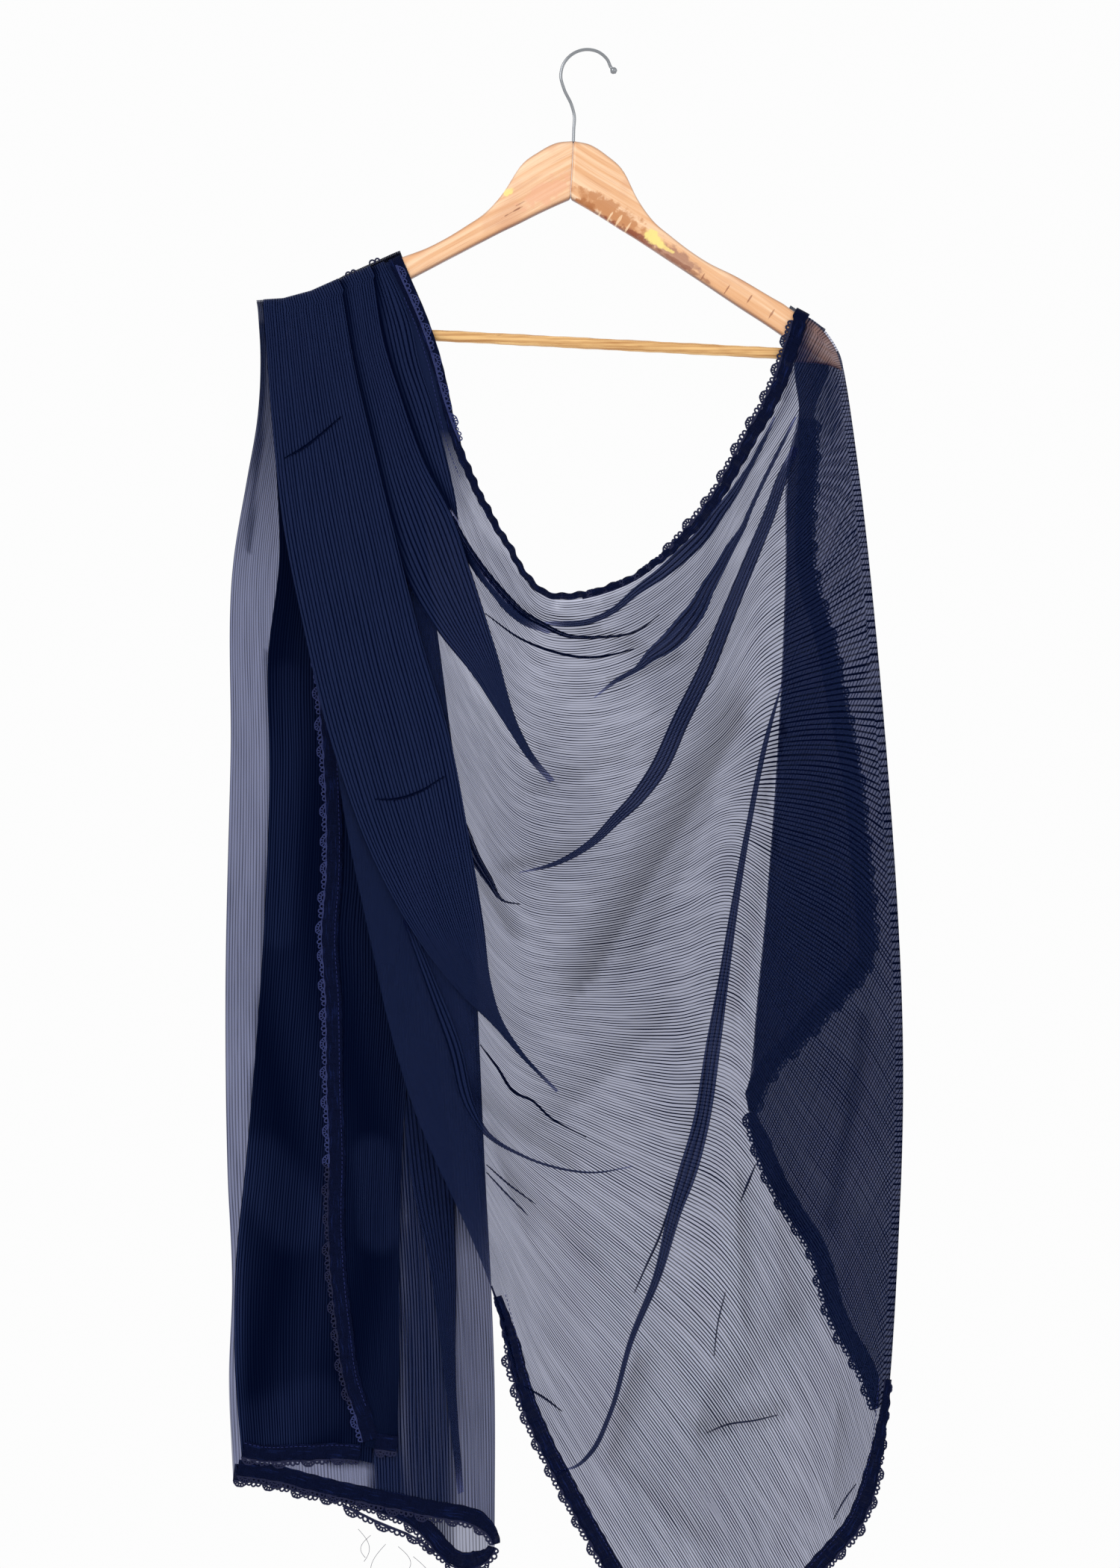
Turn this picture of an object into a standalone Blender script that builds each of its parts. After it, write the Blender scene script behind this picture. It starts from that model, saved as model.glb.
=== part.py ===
# Dupatta stole of crinkled chiffon, draped over a wooden hanger with a bar and a wire hook.
# The origin is the seat inside the hook. X runs to the right, Y to the back and Z up.
# Flat outlines are written in millimetres as (across, drop): to the right, and down from the seat.
import bpy
import bmesh
import math
import numpy as np

MM = 0.001

# Hanger
HANGER_FOOT = (-10.1, 71.9)      # where the wire enters the wood
HANGER_TILT = math.radians(2.98)  # the right end hangs lower
SEAM_GAP = 0.15                  # half of the gap between the two arms
WOOD_AXIS = 6.0                  # half of the wood's thickness
BAR_RADIUS = 4.5
BAR_HEIGHT = -159.8              # the bar's axis, in the hanger's own frame
BAR_REACH = 176.0                # seated against the blocks at the arms' ends
WIRE_RADIUS = 1.3
BALL_RADIUS = 2.9

# Cloth
WALL = 1.0                       # the cloth's wall
LAYER = 1.5                      # from one laid sheet to the next
FOLD_LAYER = 1.15                # the laid folds, clear of the cowl they lie on
SEAT = WOOD_AXIS + 0.5 + WALL / 2  # first sheet's middle, measured from the hanger's middle plane
EVEN_HEM = ((0, 11), (1, 11))    # share of an edge's length, width of the hem there
HEM_INSET = 0.1                  # the hem band starts this far inside its edge
LACE_SHIFT = 0.5                 # and the lace this far outside
LACE_DEPTH = 8.0
LACE_REPEAT = 23.0
LACE_STEPS = (0.0, 0.16, 0.5)    # places along one repeat
LACE_HEIGHTS = (0.4, 1.0, 0.9)   # a valley at the loops, then the fan's two shoulders
TURN_ANGLES = tuple(math.radians(a) for a in (1.6, 24, 46, 68, 90))
SHARP_ANGLE = math.radians(40)

# Arm outline in the hanger's own frame: reach, top, bottom, half thickness
ARM = [
    (0, 0, -46, 6), (14, -2.5, -53, 6), (27, -10, -60, 6), (41, -22, -68, 6), (53, -43, -74.5, 6),
    (65, -58.5, -81.5, 6), (82, -72, -91.5, 6), (110, -90, -108, 6), (135, -101, -123, 6),
    (166, -117, -141, 6), (174, -121, -146, 6), (179, -124.3, -166, 6), (200, -135, -166.2, 5.5),
    (211, -146, -167, 4.6), (219, -159, -169.5, 3.2), (222.4, -169, -171, 1.4),
]

# Wire hook: across, height above the seat, radius
HOOK = [
    (24.4, -19, BALL_RADIUS * 0.5), (23.6, -17.8, BALL_RADIUS), (21.6, -15.2, BALL_RADIUS),
    (20.2, -13.6, WIRE_RADIUS), (16.6, -6.4, WIRE_RADIUS), (9.6, -0.6, WIRE_RADIUS),
    (0, 1.3, WIRE_RADIUS), (-10.4, -2.0, WIRE_RADIUS), (-18, -10.2, WIRE_RADIUS),
    (-20.2, -19.6, WIRE_RADIUS), (-17.8, -29.7, WIRE_RADIUS), (-11.6, -43, WIRE_RADIUS),
    (-9.4, -52, WIRE_RADIUS), (-9.9, -62, WIRE_RADIUS), (-10.2, -71.3, WIRE_RADIUS),
]

# Past the left arm's end the pleats stand out stiffly: across, drop
LEFT_OVERHANG = [(-262, 204), (-240, 202.6)]
LEFT_CROWN_REACHES = (200, 110)  # the stretch of the left arm that carries cloth

# Front sheet: one row a section, from the left arm round to the right shoulder.
# Columns: across and drop at 0, 20, 40, 60, 80 and 100 % of the cloth's width, neckline first.
WIDTH_MARKS = (0.0, 0.2, 0.4, 0.6, 0.8, 1.0)
SECTIONS = [
    ((-147, 164), (-157, 168.6), (-167, 173), (-177, 177.6), (-185, 181.2), (-193, 185)),
    ((-115, 248), (-135, 330), (-150, 400), (-164, 460), (-180, 505), (-200, 548)),
    ((-97, 320), (-118, 430), (-132, 520), (-147, 590), (-166, 650), (-174, 694)),
    ((-62, 390), (-85, 510), (-98, 620), (-112, 710), (-126, 782), (-137, 839)),
    ((-29, 431), (-40, 560), (-45, 690), (-56, 800), (-68, 895), (-76, 980)),
    ((10, 428), (15, 565), (20, 690), (10, 825), (-18, 955), (-50, 1075)),
    ((48, 410), (65, 545), (75, 672), (62, 840), (35, 1010), (-18, 1143)),
    ((88, 372), (100, 520), (112, 655), (110, 850), (85, 1070), (22, 1215)),
    ((128, 305), (140, 460), (160, 690), (165, 930), (130, 1140), (60, 1278)),
    ((150, 262), (185, 430), (215, 730), (210, 1010), (160, 1195), (82, 1314)),
]
# The front sheet's right boundary: share of the width, across, drop
RIGHT_EDGE = [
    (0.0, 167, 206.3), (0.02, 183.4, 215.8), (0.04, 194.4, 227.8), (0.06, 201.9, 241.4), (0.08, 205, 254),
    (0.13, 213, 305), (0.2, 224.5, 400),
    (0.4, 252, 786), (0.5, 249, 936), (0.6, 237, 1102), (0.8, 176, 1222), (1.0, 97, 1340),
]
TURN_SHARE = (0.57, 0.62)        # past these shares of the width the boundary is a free hem
LONG_EDGE_TOP = 985              # the long edge shows below this drop
END_EDGE_STOP = 0.91             # share of the end edge where its hem meets the long edge
NECK_HEM_WIDTHS = ((0, 11), (0.25, 7), (0.4, 5), (0.62, 5), (0.8, 10), (1, 11))
NECK_LACE_RIGHT = (0.52, 0.96)  # shares of the neckline
NECK_LACE_LEFT = (0.03, 0.24)    # here the lace is turned on to the front

# Sheets and pleats between two edges: across, drop, from the top down
PLEAT_A = dict(
    left=[(-256, 203), (-253, 242), (-249, 294), (-240, 376), (-224, 458), (-203, 546), (-167, 646),
          (-126, 716), (-85, 769), (-60, 792), (-34, 825)],
    right=[(-195, 187), (-184, 251), (-167, 324), (-151, 389), (-132, 465), (-107, 551), (-94, 619),
           (-81, 696), (-72, 757), (-57, 784), (-31, 822)])
PLEAT_B = dict(
    left=[(-198, 188), (-186, 251), (-170, 324), (-152, 398), (-134, 436), (-116, 464), (-91, 495),
          (-62, 539), (-47, 562), (-29, 582)],
    right=[(-170, 175.6), (-160, 235), (-149, 270), (-130, 324), (-106, 371), (-91, 416), (-72, 476),
           (-51, 543), (-41, 561), (-25, 580)])
PLEAT_C = dict(
    left=[(-175, 177.8), (-165, 235), (-154, 272), (-135, 326), (-112, 370), (-90, 399), (-68, 427),
          (-46, 450), (-16, 459)],
    right=[(-160, 170.8), (-144, 215), (-133, 255), (-122, 295), (-104, 352), (-86, 386), (-66, 415),
           (-44, 441), (-15, 455)])
FALL = dict(
    left=[(-262, 203), (-260, 240), (-262, 286), (-271, 340), (-281, 399), (-284, 560), (-288, 760),
          (-286, 893), (-282, 985), (-284, 1060), (-280, 1139)],
    right=[(-146, 164), (-143, 240), (-133, 370), (-118, 467), (-107, 551), (-92, 650), (-86, 769),
           (-80, 897), (-75, 985), (-72, 1060), (-71, 1196)])
FALL_BOTTOM = [(-280, 1139), (-236, 1151), (-192, 1161), (-144, 1180), (-112, 1200), (-92, 1210),
               (-71, 1196)]
FALL_INNER_BOTTOM = [(-280, 1134), (-238, 1141), (-198, 1146), (-168, 1150), (-146, 1160), (-112, 1171),
                     (-83, 1177), (-73, 1184)]
LACE_PANEL = dict(
    left=[(-200, 189), (-208, 300), (-213, 400), (-213, 501), (-208, 570), (-207, 664), (-210, 700),
          (-207, 755), (-206, 823), (-204, 882), (-205, 928), (-203, 973), (-198, 1019), (-192, 1060),
          (-183, 1087), (-176, 1112)],
    right=[(-148, 165), (-140, 260), (-126, 400), (-123, 560), (-133, 720), (-146, 860), (-149, 970),
           (-149, 1040), (-151, 1115)])
LACE_PANEL_START = 0.24          # its hem and lace show from here down
BACK_LAYERS = {"fall_lace_panel": 0, "fall_middle": 1, "fall_inner": 2, "fall_outer": 3, "right_end_flap": 1}
MIDDLE_PANEL = dict(
    left=[(-254, 203), (-250, 294), (-247, 340), (-245, 400), (-254, 482), (-253, 573), (-257, 687),
          (-262, 765), (-272, 880), (-281, 969), (-282, 1040), (-277, 1113)],
    right=[(-160, 170.8), (-150, 260), (-140, 400), (-140, 560), (-150, 720), (-160, 860), (-166, 1000),
           (-171, 1127)])
FALL_FOLD = dict(
    left=[(-150, 780), (-138, 905), (-126, 962), (-112, 1064), (-102, 1150)],
    right=[(-122, 790), (-106, 905), (-104, 962), (-104, 1064), (-98, 1148)])
TURNBACK_FOLD = [(170, 232), (167, 254), (170, 280), (161, 324), (159, 411), (157, 470), (152, 567),
                 (143, 688), (134, 786), (131, 851)]
TURNBACK_HEM = [(131, 851), (139, 881), (163, 928), (177, 949), (198, 1013), (221, 1055), (233, 1090)]
TURNBACK_ROWS = 30
TURNBACK_HEM_SHARE = (0.72, 0.975)  # the stretch of the left boundary that is the free hem
TURNBACK_START = 0.055           # share of the width where the back sheet starts on the arm
TURNBACK_END = 0.585
TURNBACK_INSET = 11.2            # where the sheet leaves its turn round the right outline
TURNBACK_LEAST = 2.0             # a row narrower than this is left out
END_FLAP = dict(
    left=[(161, 204.6), (165, 240), (167, 262), (170, 284), (162, 330), (160, 411), (158, 470), (153, 567),
          (144, 688), (135, 786), (132, 848)],
    right=[(189, 223.6), (194, 250), (183, 283), (182, 327), (179, 372), (180, 411), (196, 470), (205, 519),
           (215, 567), (224, 650), (230, 722)])
FLAP_SIDE_START = 0.14           # below the arm
END_FLAP_HEM = [(132, 848), (150, 810), (169, 791), (196, 762), (215, 742), (230, 722)]

# Laid folds: across and drop of the middle line, and the width there
FOLDS = {
    "fold_1": [(139, 318, 3), (131, 333, 5), (121, 352, 7), (105, 372, 7), (89, 391, 7), (67, 412, 7),
               (47, 431, 5), (21, 447, 4), (0, 455, 3)],
    "fold_2": [(168, 292, 2.5), (152, 325, 3), (141, 347, 4), (128, 365, 6), (117, 387, 10), (104, 410, 14),
               (90, 431, 18), (72, 455, 15), (50, 483, 7), (35, 495, 4), (17, 507, 3), (6, 515, 2.5)],
    "fold_3": [(167, 318, 5), (159, 341, 7), (144, 374, 9), (132, 401, 11), (113, 447, 11), (93, 494, 12),
               (75, 532, 13), (55, 574, 13), (41, 593, 11), (22, 612, 8), (7, 627, 6), (-25, 646, 3),
               (-53, 653, 2.5)],
    "fold_4": [(156, 500, 2.5), (144, 542, 3), (127, 623, 4), (115, 693, 6), (108, 740, 8), (101, 785, 11),
               (89, 858, 13), (79, 893, 14), (71, 917, 11), (56, 972, 6), (36, 1021, 4), (18, 1082, 3),
               (4, 1111, 3), (-7, 1122, 2.5)],
    "fold_5": [(-143, 690, 5), (-124, 738, 8), (-104, 792, 10), (-92, 838, 9), (-78, 861, 7), (-62, 874, 5),
               (-45, 883, 3)],
}
FOLD_STEPS = {"fold_1": 16, "fold_2": 18, "fold_3": 22, "fold_4": 26, "fold_5": 14}

# Soft creases of the front sheet: start across and drop, end across and drop, height, half width
FRONT_CREASES = [
    (122, 530, 3, 735, 3.5, 26), (148, 600, 60, 800, 3.0, 30), (-80, 520, 30, 600, -2.5, 28),
    (-85, 700, 40, 780, 3.0, 30), (-80, 860, 60, 900, -2.5, 30), (125, 880, 135, 1060, 3.0, 26),
    (205, 500, 225, 900, -2.5, 28), (-40, 960, 60, 1180, 3.0, 32), (60, 1080, 165, 1090, -2.0, 28),
]
BACK_CREASES = [
    (-250, 330, -255, 1050, 2.5, 36), (-168, 300, -165, 1100, -2.0, 36), (-105, 620, -98, 1150, 2.0, 34),
    (207, 840, 190, 950, 2.0, 30), (200, 380, 225, 700, 2.0, 34),
]
CREASE_END = 0.35                # share of a crease's height at its two ends
COWL_SAG = dict(across=10, reach=135, depth=15, start=(250, 620), easing=(720, 1300), left=0.35)
FREE_REACH = (8, 70)             # a sheet is tight this near a turned edge, then free
FRONT_SPREAD = 1.5               # how far a free sheet stands off
BACK_SPREAD = 1.0

# Materials: colour, roughness, metallic
FINISHES = {
    "navy_chiffon": ((0.010, 0.016, 0.045, 1), 0.75, 0.0),
    "navy_lace": ((0.006, 0.009, 0.028, 1), 0.6, 0.0),
    "varnished_wood": ((0.62, 0.33, 0.17, 1), 0.35, 0.0),
    "bar_wood": ((0.68, 0.42, 0.16, 1), 0.4, 0.0),
    "chrome_wire": ((0.72, 0.73, 0.75, 1), 0.15, 1.0),
}


# Values that change smoothly between knots, read at any places.
def smooth(values, knots, at):
    v = np.asarray(values, float)
    k = np.asarray(knots, float)
    span = np.diff(k)
    slope = np.diff(v, axis=0) / span.reshape((-1,) + (1,) * (v.ndim - 1))
    tangent = np.empty_like(v)
    tangent[0], tangent[-1] = slope[0], slope[-1]
    before = (span[1:] / (span[1:] + span[:-1])).reshape((-1,) + (1,) * (v.ndim - 1))
    tangent[1:-1] = slope[:-1] * before + slope[1:] * (1 - before)
    at = np.asarray(at, float)
    i = np.clip(np.searchsorted(k, at, side="right") - 1, 0, len(span) - 1)
    shape = (-1,) + (1,) * (v.ndim - 1)
    h = span[i].reshape(shape)
    t = ((at - k[i]) / span[i]).reshape(shape)
    return ((2 * t**3 - 3 * t**2 + 1) * v[i] + (t**3 - 2 * t**2 + t) * h * tangent[i]
            + (3 * t**2 - 2 * t**3) * v[i + 1] + (t**3 - t**2) * h * tangent[i + 1])


# A smooth line through the points, read at equal steps of its length.
def line(points, count, start=0.0, end=1.0):
    p = np.asarray(points, float)
    knots = np.concatenate([[0], np.cumsum(np.linalg.norm(np.diff(p[:, :2], axis=0), axis=1))])
    dense = smooth(p, knots, np.linspace(0, knots[-1], 24 * len(p)))
    length = np.concatenate([[0], np.cumsum(np.linalg.norm(np.diff(dense[:, :2], axis=0), axis=1))])
    at = np.linspace(start * length[-1], end * length[-1], count)
    return np.stack([np.interp(at, length, dense[:, c]) for c in range(p.shape[1])], axis=1)


# Straight runs between points, read at equal steps of their length.
def trace(points, count, start=0.0, end=1.0):
    length = np.concatenate([[0], np.cumsum(np.linalg.norm(np.diff(points, axis=0), axis=1))])
    at = np.linspace(start * length[-1], end * length[-1], count)
    return np.stack([np.interp(at, length, points[:, c]) for c in range(2)], axis=1)


# Unit vectors square to a flat line, to its left as it runs.
def square_to(points):
    run = np.gradient(points[:, :2], axis=0)
    run /= np.linalg.norm(run, axis=1)[:, None]
    return np.stack([run[:, 1], -run[:, 0]], axis=1)


def ramp(value, low, high):
    t = np.clip((np.asarray(value, float) - low) / (high - low), 0, 1)
    return t * t * (3 - 2 * t)


# Distance from flat points to a line.
def distance_to(flat, points):
    p = np.asarray(points, float)[:, :2]
    best = np.full(flat.shape[:-1], 1e9)
    for a, b in zip(p[:-1], p[1:]):
        run = b - a
        t = np.clip(((flat - a) @ run) / (run @ run), 0, 1)
        best = np.minimum(best, np.linalg.norm(flat - (a + t[..., None] * run), axis=-1))
    return best


def crease_height(flat, creases):
    total = np.zeros(flat.shape[:-1])
    for x0, d0, x1, d1, height, half in creases:
        a, run = np.array([x0, d0], float), np.array([x1 - x0, d1 - d0], float)
        t = np.clip(((flat - a) @ run) / (run @ run), 0, 1)
        away = np.linalg.norm(flat - (a + t[..., None] * run), axis=-1)
        along = CREASE_END + (1 - CREASE_END) * np.sin(np.pi * t)
        total += height * along * np.exp(-(away / half) ** 2)
    return total


def hanger_point(reach, height, depth):
    sine, cosine = math.sin(HANGER_TILT), math.cos(HANGER_TILT)
    across = HANGER_FOOT[0] + reach * cosine + height * sine
    drop = HANGER_FOOT[1] + reach * sine - height * cosine
    return (across, depth, -drop)


# Top line of the cloth over the left arm, as across and drop.
def left_crown():
    high, low = LEFT_CROWN_REACHES
    wood = [hanger_point(-reach, top, 0) for reach, top, bottom, half in ARM if low <= reach <= high]
    return LEFT_OVERHANG + [(x, -z) for x, y, z in reversed(wood)]


LEFT_CROWN = left_crown()
RIGHT_LINE = smooth([row[1:] for row in RIGHT_EDGE], [row[0] for row in RIGHT_EDGE], np.linspace(0, 0.6, 60))


# How far a side's first sheet lies from the hanger's middle plane.
def first_depth(flat, side):
    near_turn = np.minimum(distance_to(flat, RIGHT_LINE), distance_to(flat, LEFT_CROWN))
    free = ramp(near_turn, *FREE_REACH)
    x, d = flat[..., 0], flat[..., 1]
    if side > 0:
        return SEAT + free * (BACK_SPREAD + crease_height(flat, BACK_CREASES))
    sag = COWL_SAG
    hang = np.exp(-((x - sag["across"]) / sag["reach"]) ** 2) * ramp(d, *sag["start"])
    hang *= 1 - (1 - sag["left"]) * ramp(d, *sag["easing"])
    return SEAT + free * (FRONT_SPREAD + sag["depth"] * hang + crease_height(flat, FRONT_CREASES))


# Flat points set at their depth; side is -1 for the front and 1 for the back.
def lay(flat, side, layer):
    depth = first_depth(flat, side) + layer * LAYER
    return np.stack([flat[..., 0], side * depth, -flat[..., 1]], axis=-1)


# Rows that carry a sheet round an edge, from the middle plane to its own depth.
def turn(edge, outward, side, layer, over_wood, share=None):
    radius = SEAT + layer * LAYER
    rows = []
    for angle in TURN_ANGLES:
        shift = radius * math.cos(angle) - (WOOD_AXIS if over_wood else radius)
        flat = edge + outward * shift
        round_depth = radius * math.sin(angle) * np.ones(len(edge))
        if share is not None:
            round_depth = radius + (round_depth - radius) * share
        rows.append(np.stack([flat[:, 0], side * round_depth, -flat[:, 1]], axis=-1))
    return np.array(rows)


# Unit vectors that point up and away from a top line.
def upward(edge):
    out = square_to(edge)
    out[out[:, 1] > 0] *= -1
    return out


# A flat grid hung from a crown: its first row lies on the crown, and its last too if both ends do.
def hang_grid(flat, side, layer, start=True, end=False):
    body = flat[1 if start else 0: -1 if end else None]
    parts = [lay(body, side, layer)]
    if start:
        parts.insert(0, turn(flat[0], upward(flat[0]), side, layer, True))
    if end:
        parts.append(turn(flat[-1], upward(flat[-1]), side, layer, True)[::-1])
    return np.concatenate(parts)


# The flat grid between two edges; the last row may follow its own bottom line.
def between(left, right, rows, columns, bottom=None):
    a, b = line(left, rows), line(right, rows)
    across = np.linspace(0, 1, columns)[None, :, None]
    flat = a[:, None, :] * (1 - across) + b[:, None, :] * across
    if bottom is not None:
        fitted = line(bottom, columns)
        ease = (np.linspace(0, 1, rows) ** 4)[:, None, None]
        flat += (fitted - flat[-1])[None] * ease
    return flat


def crown_drop(across):
    crown = np.array(LEFT_CROWN, float)
    return np.interp(across, crown[:, 0], crown[:, 1])


def on_crown(flat):
    flat = flat.copy()
    flat[0, :, 1] = crown_drop(flat[0, :, 0])
    return flat


def material(name):
    made = bpy.data.materials.get(name)
    if made is None:
        colour, rough, metal = FINISHES[name]
        made = bpy.data.materials.new(name)
        made.use_nodes = True
        shader = made.node_tree.nodes["Principled BSDF"]
        shader.inputs["Base Color"].default_value = colour
        shader.inputs["Roughness"].default_value = rough
        shader.inputs["Metallic"].default_value = metal
        made.diffuse_color = colour
    return made


def add_object(name, points, faces, finish):
    mesh = bpy.data.meshes.new(name)
    mesh.from_pydata([tuple(float(c) * MM for c in p) for p in points], [], faces)
    tidy = bmesh.new()
    tidy.from_mesh(mesh)
    bmesh.ops.recalc_face_normals(tidy, faces=tidy.faces)
    bmesh.ops.triangulate(tidy, faces=tidy.faces)
    tidy.to_mesh(mesh)
    tidy.free()
    mesh.materials.append(material(finish))
    mesh.shade_smooth()
    mesh.set_sharp_from_angle(angle=SHARP_ANGLE)
    made = bpy.data.objects.new(name, mesh)
    bpy.context.scene.collection.objects.link(made)
    return made


# A closed wall round a grid of middle points.
def wall(name, grid, finish="navy_chiffon"):
    rows, columns = grid.shape[:2]
    down = np.gradient(grid, axis=0)
    over = np.gradient(grid, axis=1)
    normal = np.cross(down, over)
    normal /= np.linalg.norm(normal, axis=-1)[..., None]
    points = np.concatenate([(grid + normal * WALL / 2).reshape(-1, 3),
                             (grid - normal * WALL / 2).reshape(-1, 3)])
    back = rows * columns
    faces = []
    for r in range(rows - 1):
        for c in range(columns - 1):
            a, b = r * columns + c, (r + 1) * columns + c
            faces.append((a, a + 1, b + 1, b))
            faces.append((back + a, back + b, back + b + 1, back + a + 1))
    rim = [r * columns for r in range(rows)]
    rim += [(rows - 1) * columns + c for c in range(1, columns)]
    rim += [r * columns + columns - 1 for r in range(rows - 2, -1, -1)]
    rim += [c for c in range(columns - 2, 0, -1)]
    for a, b in zip(rim, rim[1:] + rim[:1]):
        faces.append((a, b, back + b, back + a))
    return add_object(name, points, faces, finish)


# A closed tube through rings of equal count.
def tube(name, rings, finish):
    count = len(rings[0])
    points = [p for ring in rings for p in ring]
    faces = [tuple(range(count)), tuple((len(rings) - 1) * count + i for i in range(count))]
    for r in range(len(rings) - 1):
        for i in range(count):
            j = (i + 1) % count
            faces.append((r * count + i, r * count + j, (r + 1) * count + j, (r + 1) * count + i))
    return add_object(name, points, faces, finish)


# One arm, as upright slices with a rounded top and bottom.
def hanger_arm(name, direction):
    arcs = [math.radians(a) for a in (0, 36, 72, 108, 144, 180)]
    rings = []
    for reach, top, bottom, half in ARM:
        reach = direction * max(reach, SEAM_GAP)
        radius = min(half, (top - bottom) / 2)
        ring = [(half * math.cos(a), top - radius + radius * math.sin(a)) for a in arcs]
        ring += [(-half * math.cos(a), bottom + radius - radius * math.sin(a)) for a in arcs]
        rings.append([hanger_point(reach, height, depth) for depth, height in ring])
    return tube(name, rings, "varnished_wood")


def hanger_bar():
    angles = [math.tau * i / 12 for i in range(12)]
    rings = []
    for reach in (-BAR_REACH, -60, 60, BAR_REACH):
        rings.append([hanger_point(reach, BAR_HEIGHT + BAR_RADIUS * math.sin(a), BAR_RADIUS * math.cos(a))
                      for a in angles])
    return tube("hanger_bar", rings, "bar_wood")


def hook():
    route = line(HOOK, 34)
    out = square_to(route)
    angles = [math.tau * i / 8 for i in range(8)]
    rings = []
    for (x, z, radius), (nx, nz) in zip(route, out):
        rings.append([(x + nx * radius * math.cos(a), radius * math.sin(a), z + nz * radius * math.cos(a))
                      for a in angles])
    return tube("hook", rings, "chrome_wire")


# The front sheet's flat grid: shares of the width down its rows, sections along its columns.
def front_sheet():
    shares = np.concatenate([[0, 0.02, 0.04, 0.06, 0.08, 0.12, 0.16], np.linspace(0.2, 1, 15)])
    table = smooth(np.swapaxes(np.array(SECTIONS, float), 0, 1), WIDTH_MARKS, shares)
    last = smooth([row[1:] for row in RIGHT_EDGE], [row[0] for row in RIGHT_EDGE], shares)
    table = np.concatenate([table, last[:, None, :]], axis=1)
    gaps = np.linalg.norm(np.diff(table, axis=1), axis=-1).mean(axis=0)
    knots = np.concatenate([[0], np.cumsum(gaps)])
    at = np.linspace(0, knots[-1], 34)
    flat = np.swapaxes(smooth(np.swapaxes(table, 0, 1), knots, at), 0, 1)
    return shares, flat


def cowl():
    shares, flat = front_sheet()
    left, right = flat[:, 0], flat[:, -1]
    turned = 1 - ramp(shares, *TURN_SHARE)
    left[:, 1] = crown_drop(left[:, 0])
    start = turn(left, upward(left), -1, 0, True)
    finish = turn(right, square_to(right), -1, 0, False, turned)[::-1]
    middle = np.swapaxes(lay(flat[:, 1:-1], -1, 0), 0, 1)
    return wall("cowl", np.concatenate([start, middle, finish]))


# The left boundary of the sheet turned back at the right: its fold, then its free hem.
def turnback_edge():
    return line(TURNBACK_FOLD + TURNBACK_HEM[1:], TURNBACK_ROWS)


def turnback():
    rows = TURNBACK_ROWS
    left = turnback_edge()
    shares = np.linspace(TURNBACK_START, TURNBACK_END, 200)
    right = line(smooth([row[1:] for row in RIGHT_EDGE], [row[0] for row in RIGHT_EDGE], shares), rows)
    inner = right - square_to(right) * TURNBACK_INSET
    keep = np.linalg.norm(inner - left, axis=1) > TURNBACK_LEAST
    across = np.linspace(0, 1, 6)[None, :, None]
    flat = left[:, None, :] * (1 - across) + inner[:, None, :] * across
    sheet = lay(flat, 1, 0)
    edge = np.swapaxes(turn(right, square_to(right), 1, 0, False)[::-1], 0, 1)
    grid = np.concatenate([sheet, edge], axis=1)[keep]
    return wall("right_turnback", grid)


# A scalloped strip outside an edge line, at the edge's own depth; the cloth lies on the other side.
def lace(name, edge, outward, side, layer):
    dense = trace(edge, 400)
    length = np.concatenate([[0], np.cumsum(np.linalg.norm(np.diff(dense[:, :2], axis=0), axis=1))])
    repeats = max(1, int(length[-1] // LACE_REPEAT))
    pitch = length[-1] / repeats
    places = np.array([(i + step) * pitch for i in range(repeats) for step in LACE_STEPS] + [length[-1]])
    heights = np.array(list(LACE_HEIGHTS) * repeats + [LACE_HEIGHTS[0]]) * LACE_DEPTH
    points = np.stack([np.interp(places, length, dense[:, c]) for c in range(2)], axis=1)
    out = np.stack([np.interp(places, length, square_to(dense)[:, c]) for c in range(2)], axis=1) * outward
    low = points + out * LACE_SHIFT
    high = points + out * (LACE_SHIFT + heights[:, None])
    wall(name, lay(np.stack([low, high], axis=1), side, layer), "navy_lace")


# A flat band just inside an edge line; its width may change along it.
def hem(name, edge, outward, side, layer, count, widths=EVEN_HEM, crowns=(False, False)):
    points = trace(edge, count)
    width = np.interp(np.linspace(0, 1, count), [w[0] for w in widths], [w[1] for w in widths])
    out = square_to(points) * outward
    flat = np.stack([points - out * HEM_INSET, points - out * width[:, None]], axis=1)
    wall(name, hang_grid(flat, side, layer, *crowns), "navy_lace")


# The flat grids of the sheets that hang down the back.
def back_sheets():
    sizes = {
        "fall_lace_panel": (LACE_PANEL, 22, 4, None), "fall_middle": (MIDDLE_PANEL, 22, 6, None),
        "fall_inner": (FALL, 22, 10, FALL_INNER_BOTTOM), "fall_outer": (FALL, 22, 10, FALL_BOTTOM)}
    sheets = {name: on_crown(between(edges["left"], edges["right"], rows, columns, bottom))
              for name, (edges, rows, columns, bottom) in sizes.items()}
    sheets["right_end_flap"] = between(END_FLAP["left"], END_FLAP["right"], 24, 5, END_FLAP_HEM)
    return sheets


def build_sheets(sheets):
    cowl()
    turnback()
    pleats = {"pleat_a": (PLEAT_A, 24, 4, 3), "pleat_b": (PLEAT_B, 16, 3, 2), "pleat_c": (PLEAT_C, 16, 3, 1)}
    for name, (edges, rows, columns, layer) in pleats.items():
        wall(name, hang_grid(on_crown(between(edges["left"], edges["right"], rows, columns)), -1, layer))
    for name, route in FOLDS.items():
        middle = line(route, FOLD_STEPS[name])
        half = square_to(middle) * middle[:, 2:] / 2
        wall(name, lay(np.stack([middle[:, :2] - half, middle[:, :2] + half], axis=1), -1, FOLD_LAYER))
    for name, flat in sheets.items():
        wall(name, hang_grid(flat, 1, BACK_LAYERS[name]))
    wall("fall_fold", lay(between(FALL_FOLD["left"], FALL_FOLD["right"], 12, 3), 1, 1))


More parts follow.
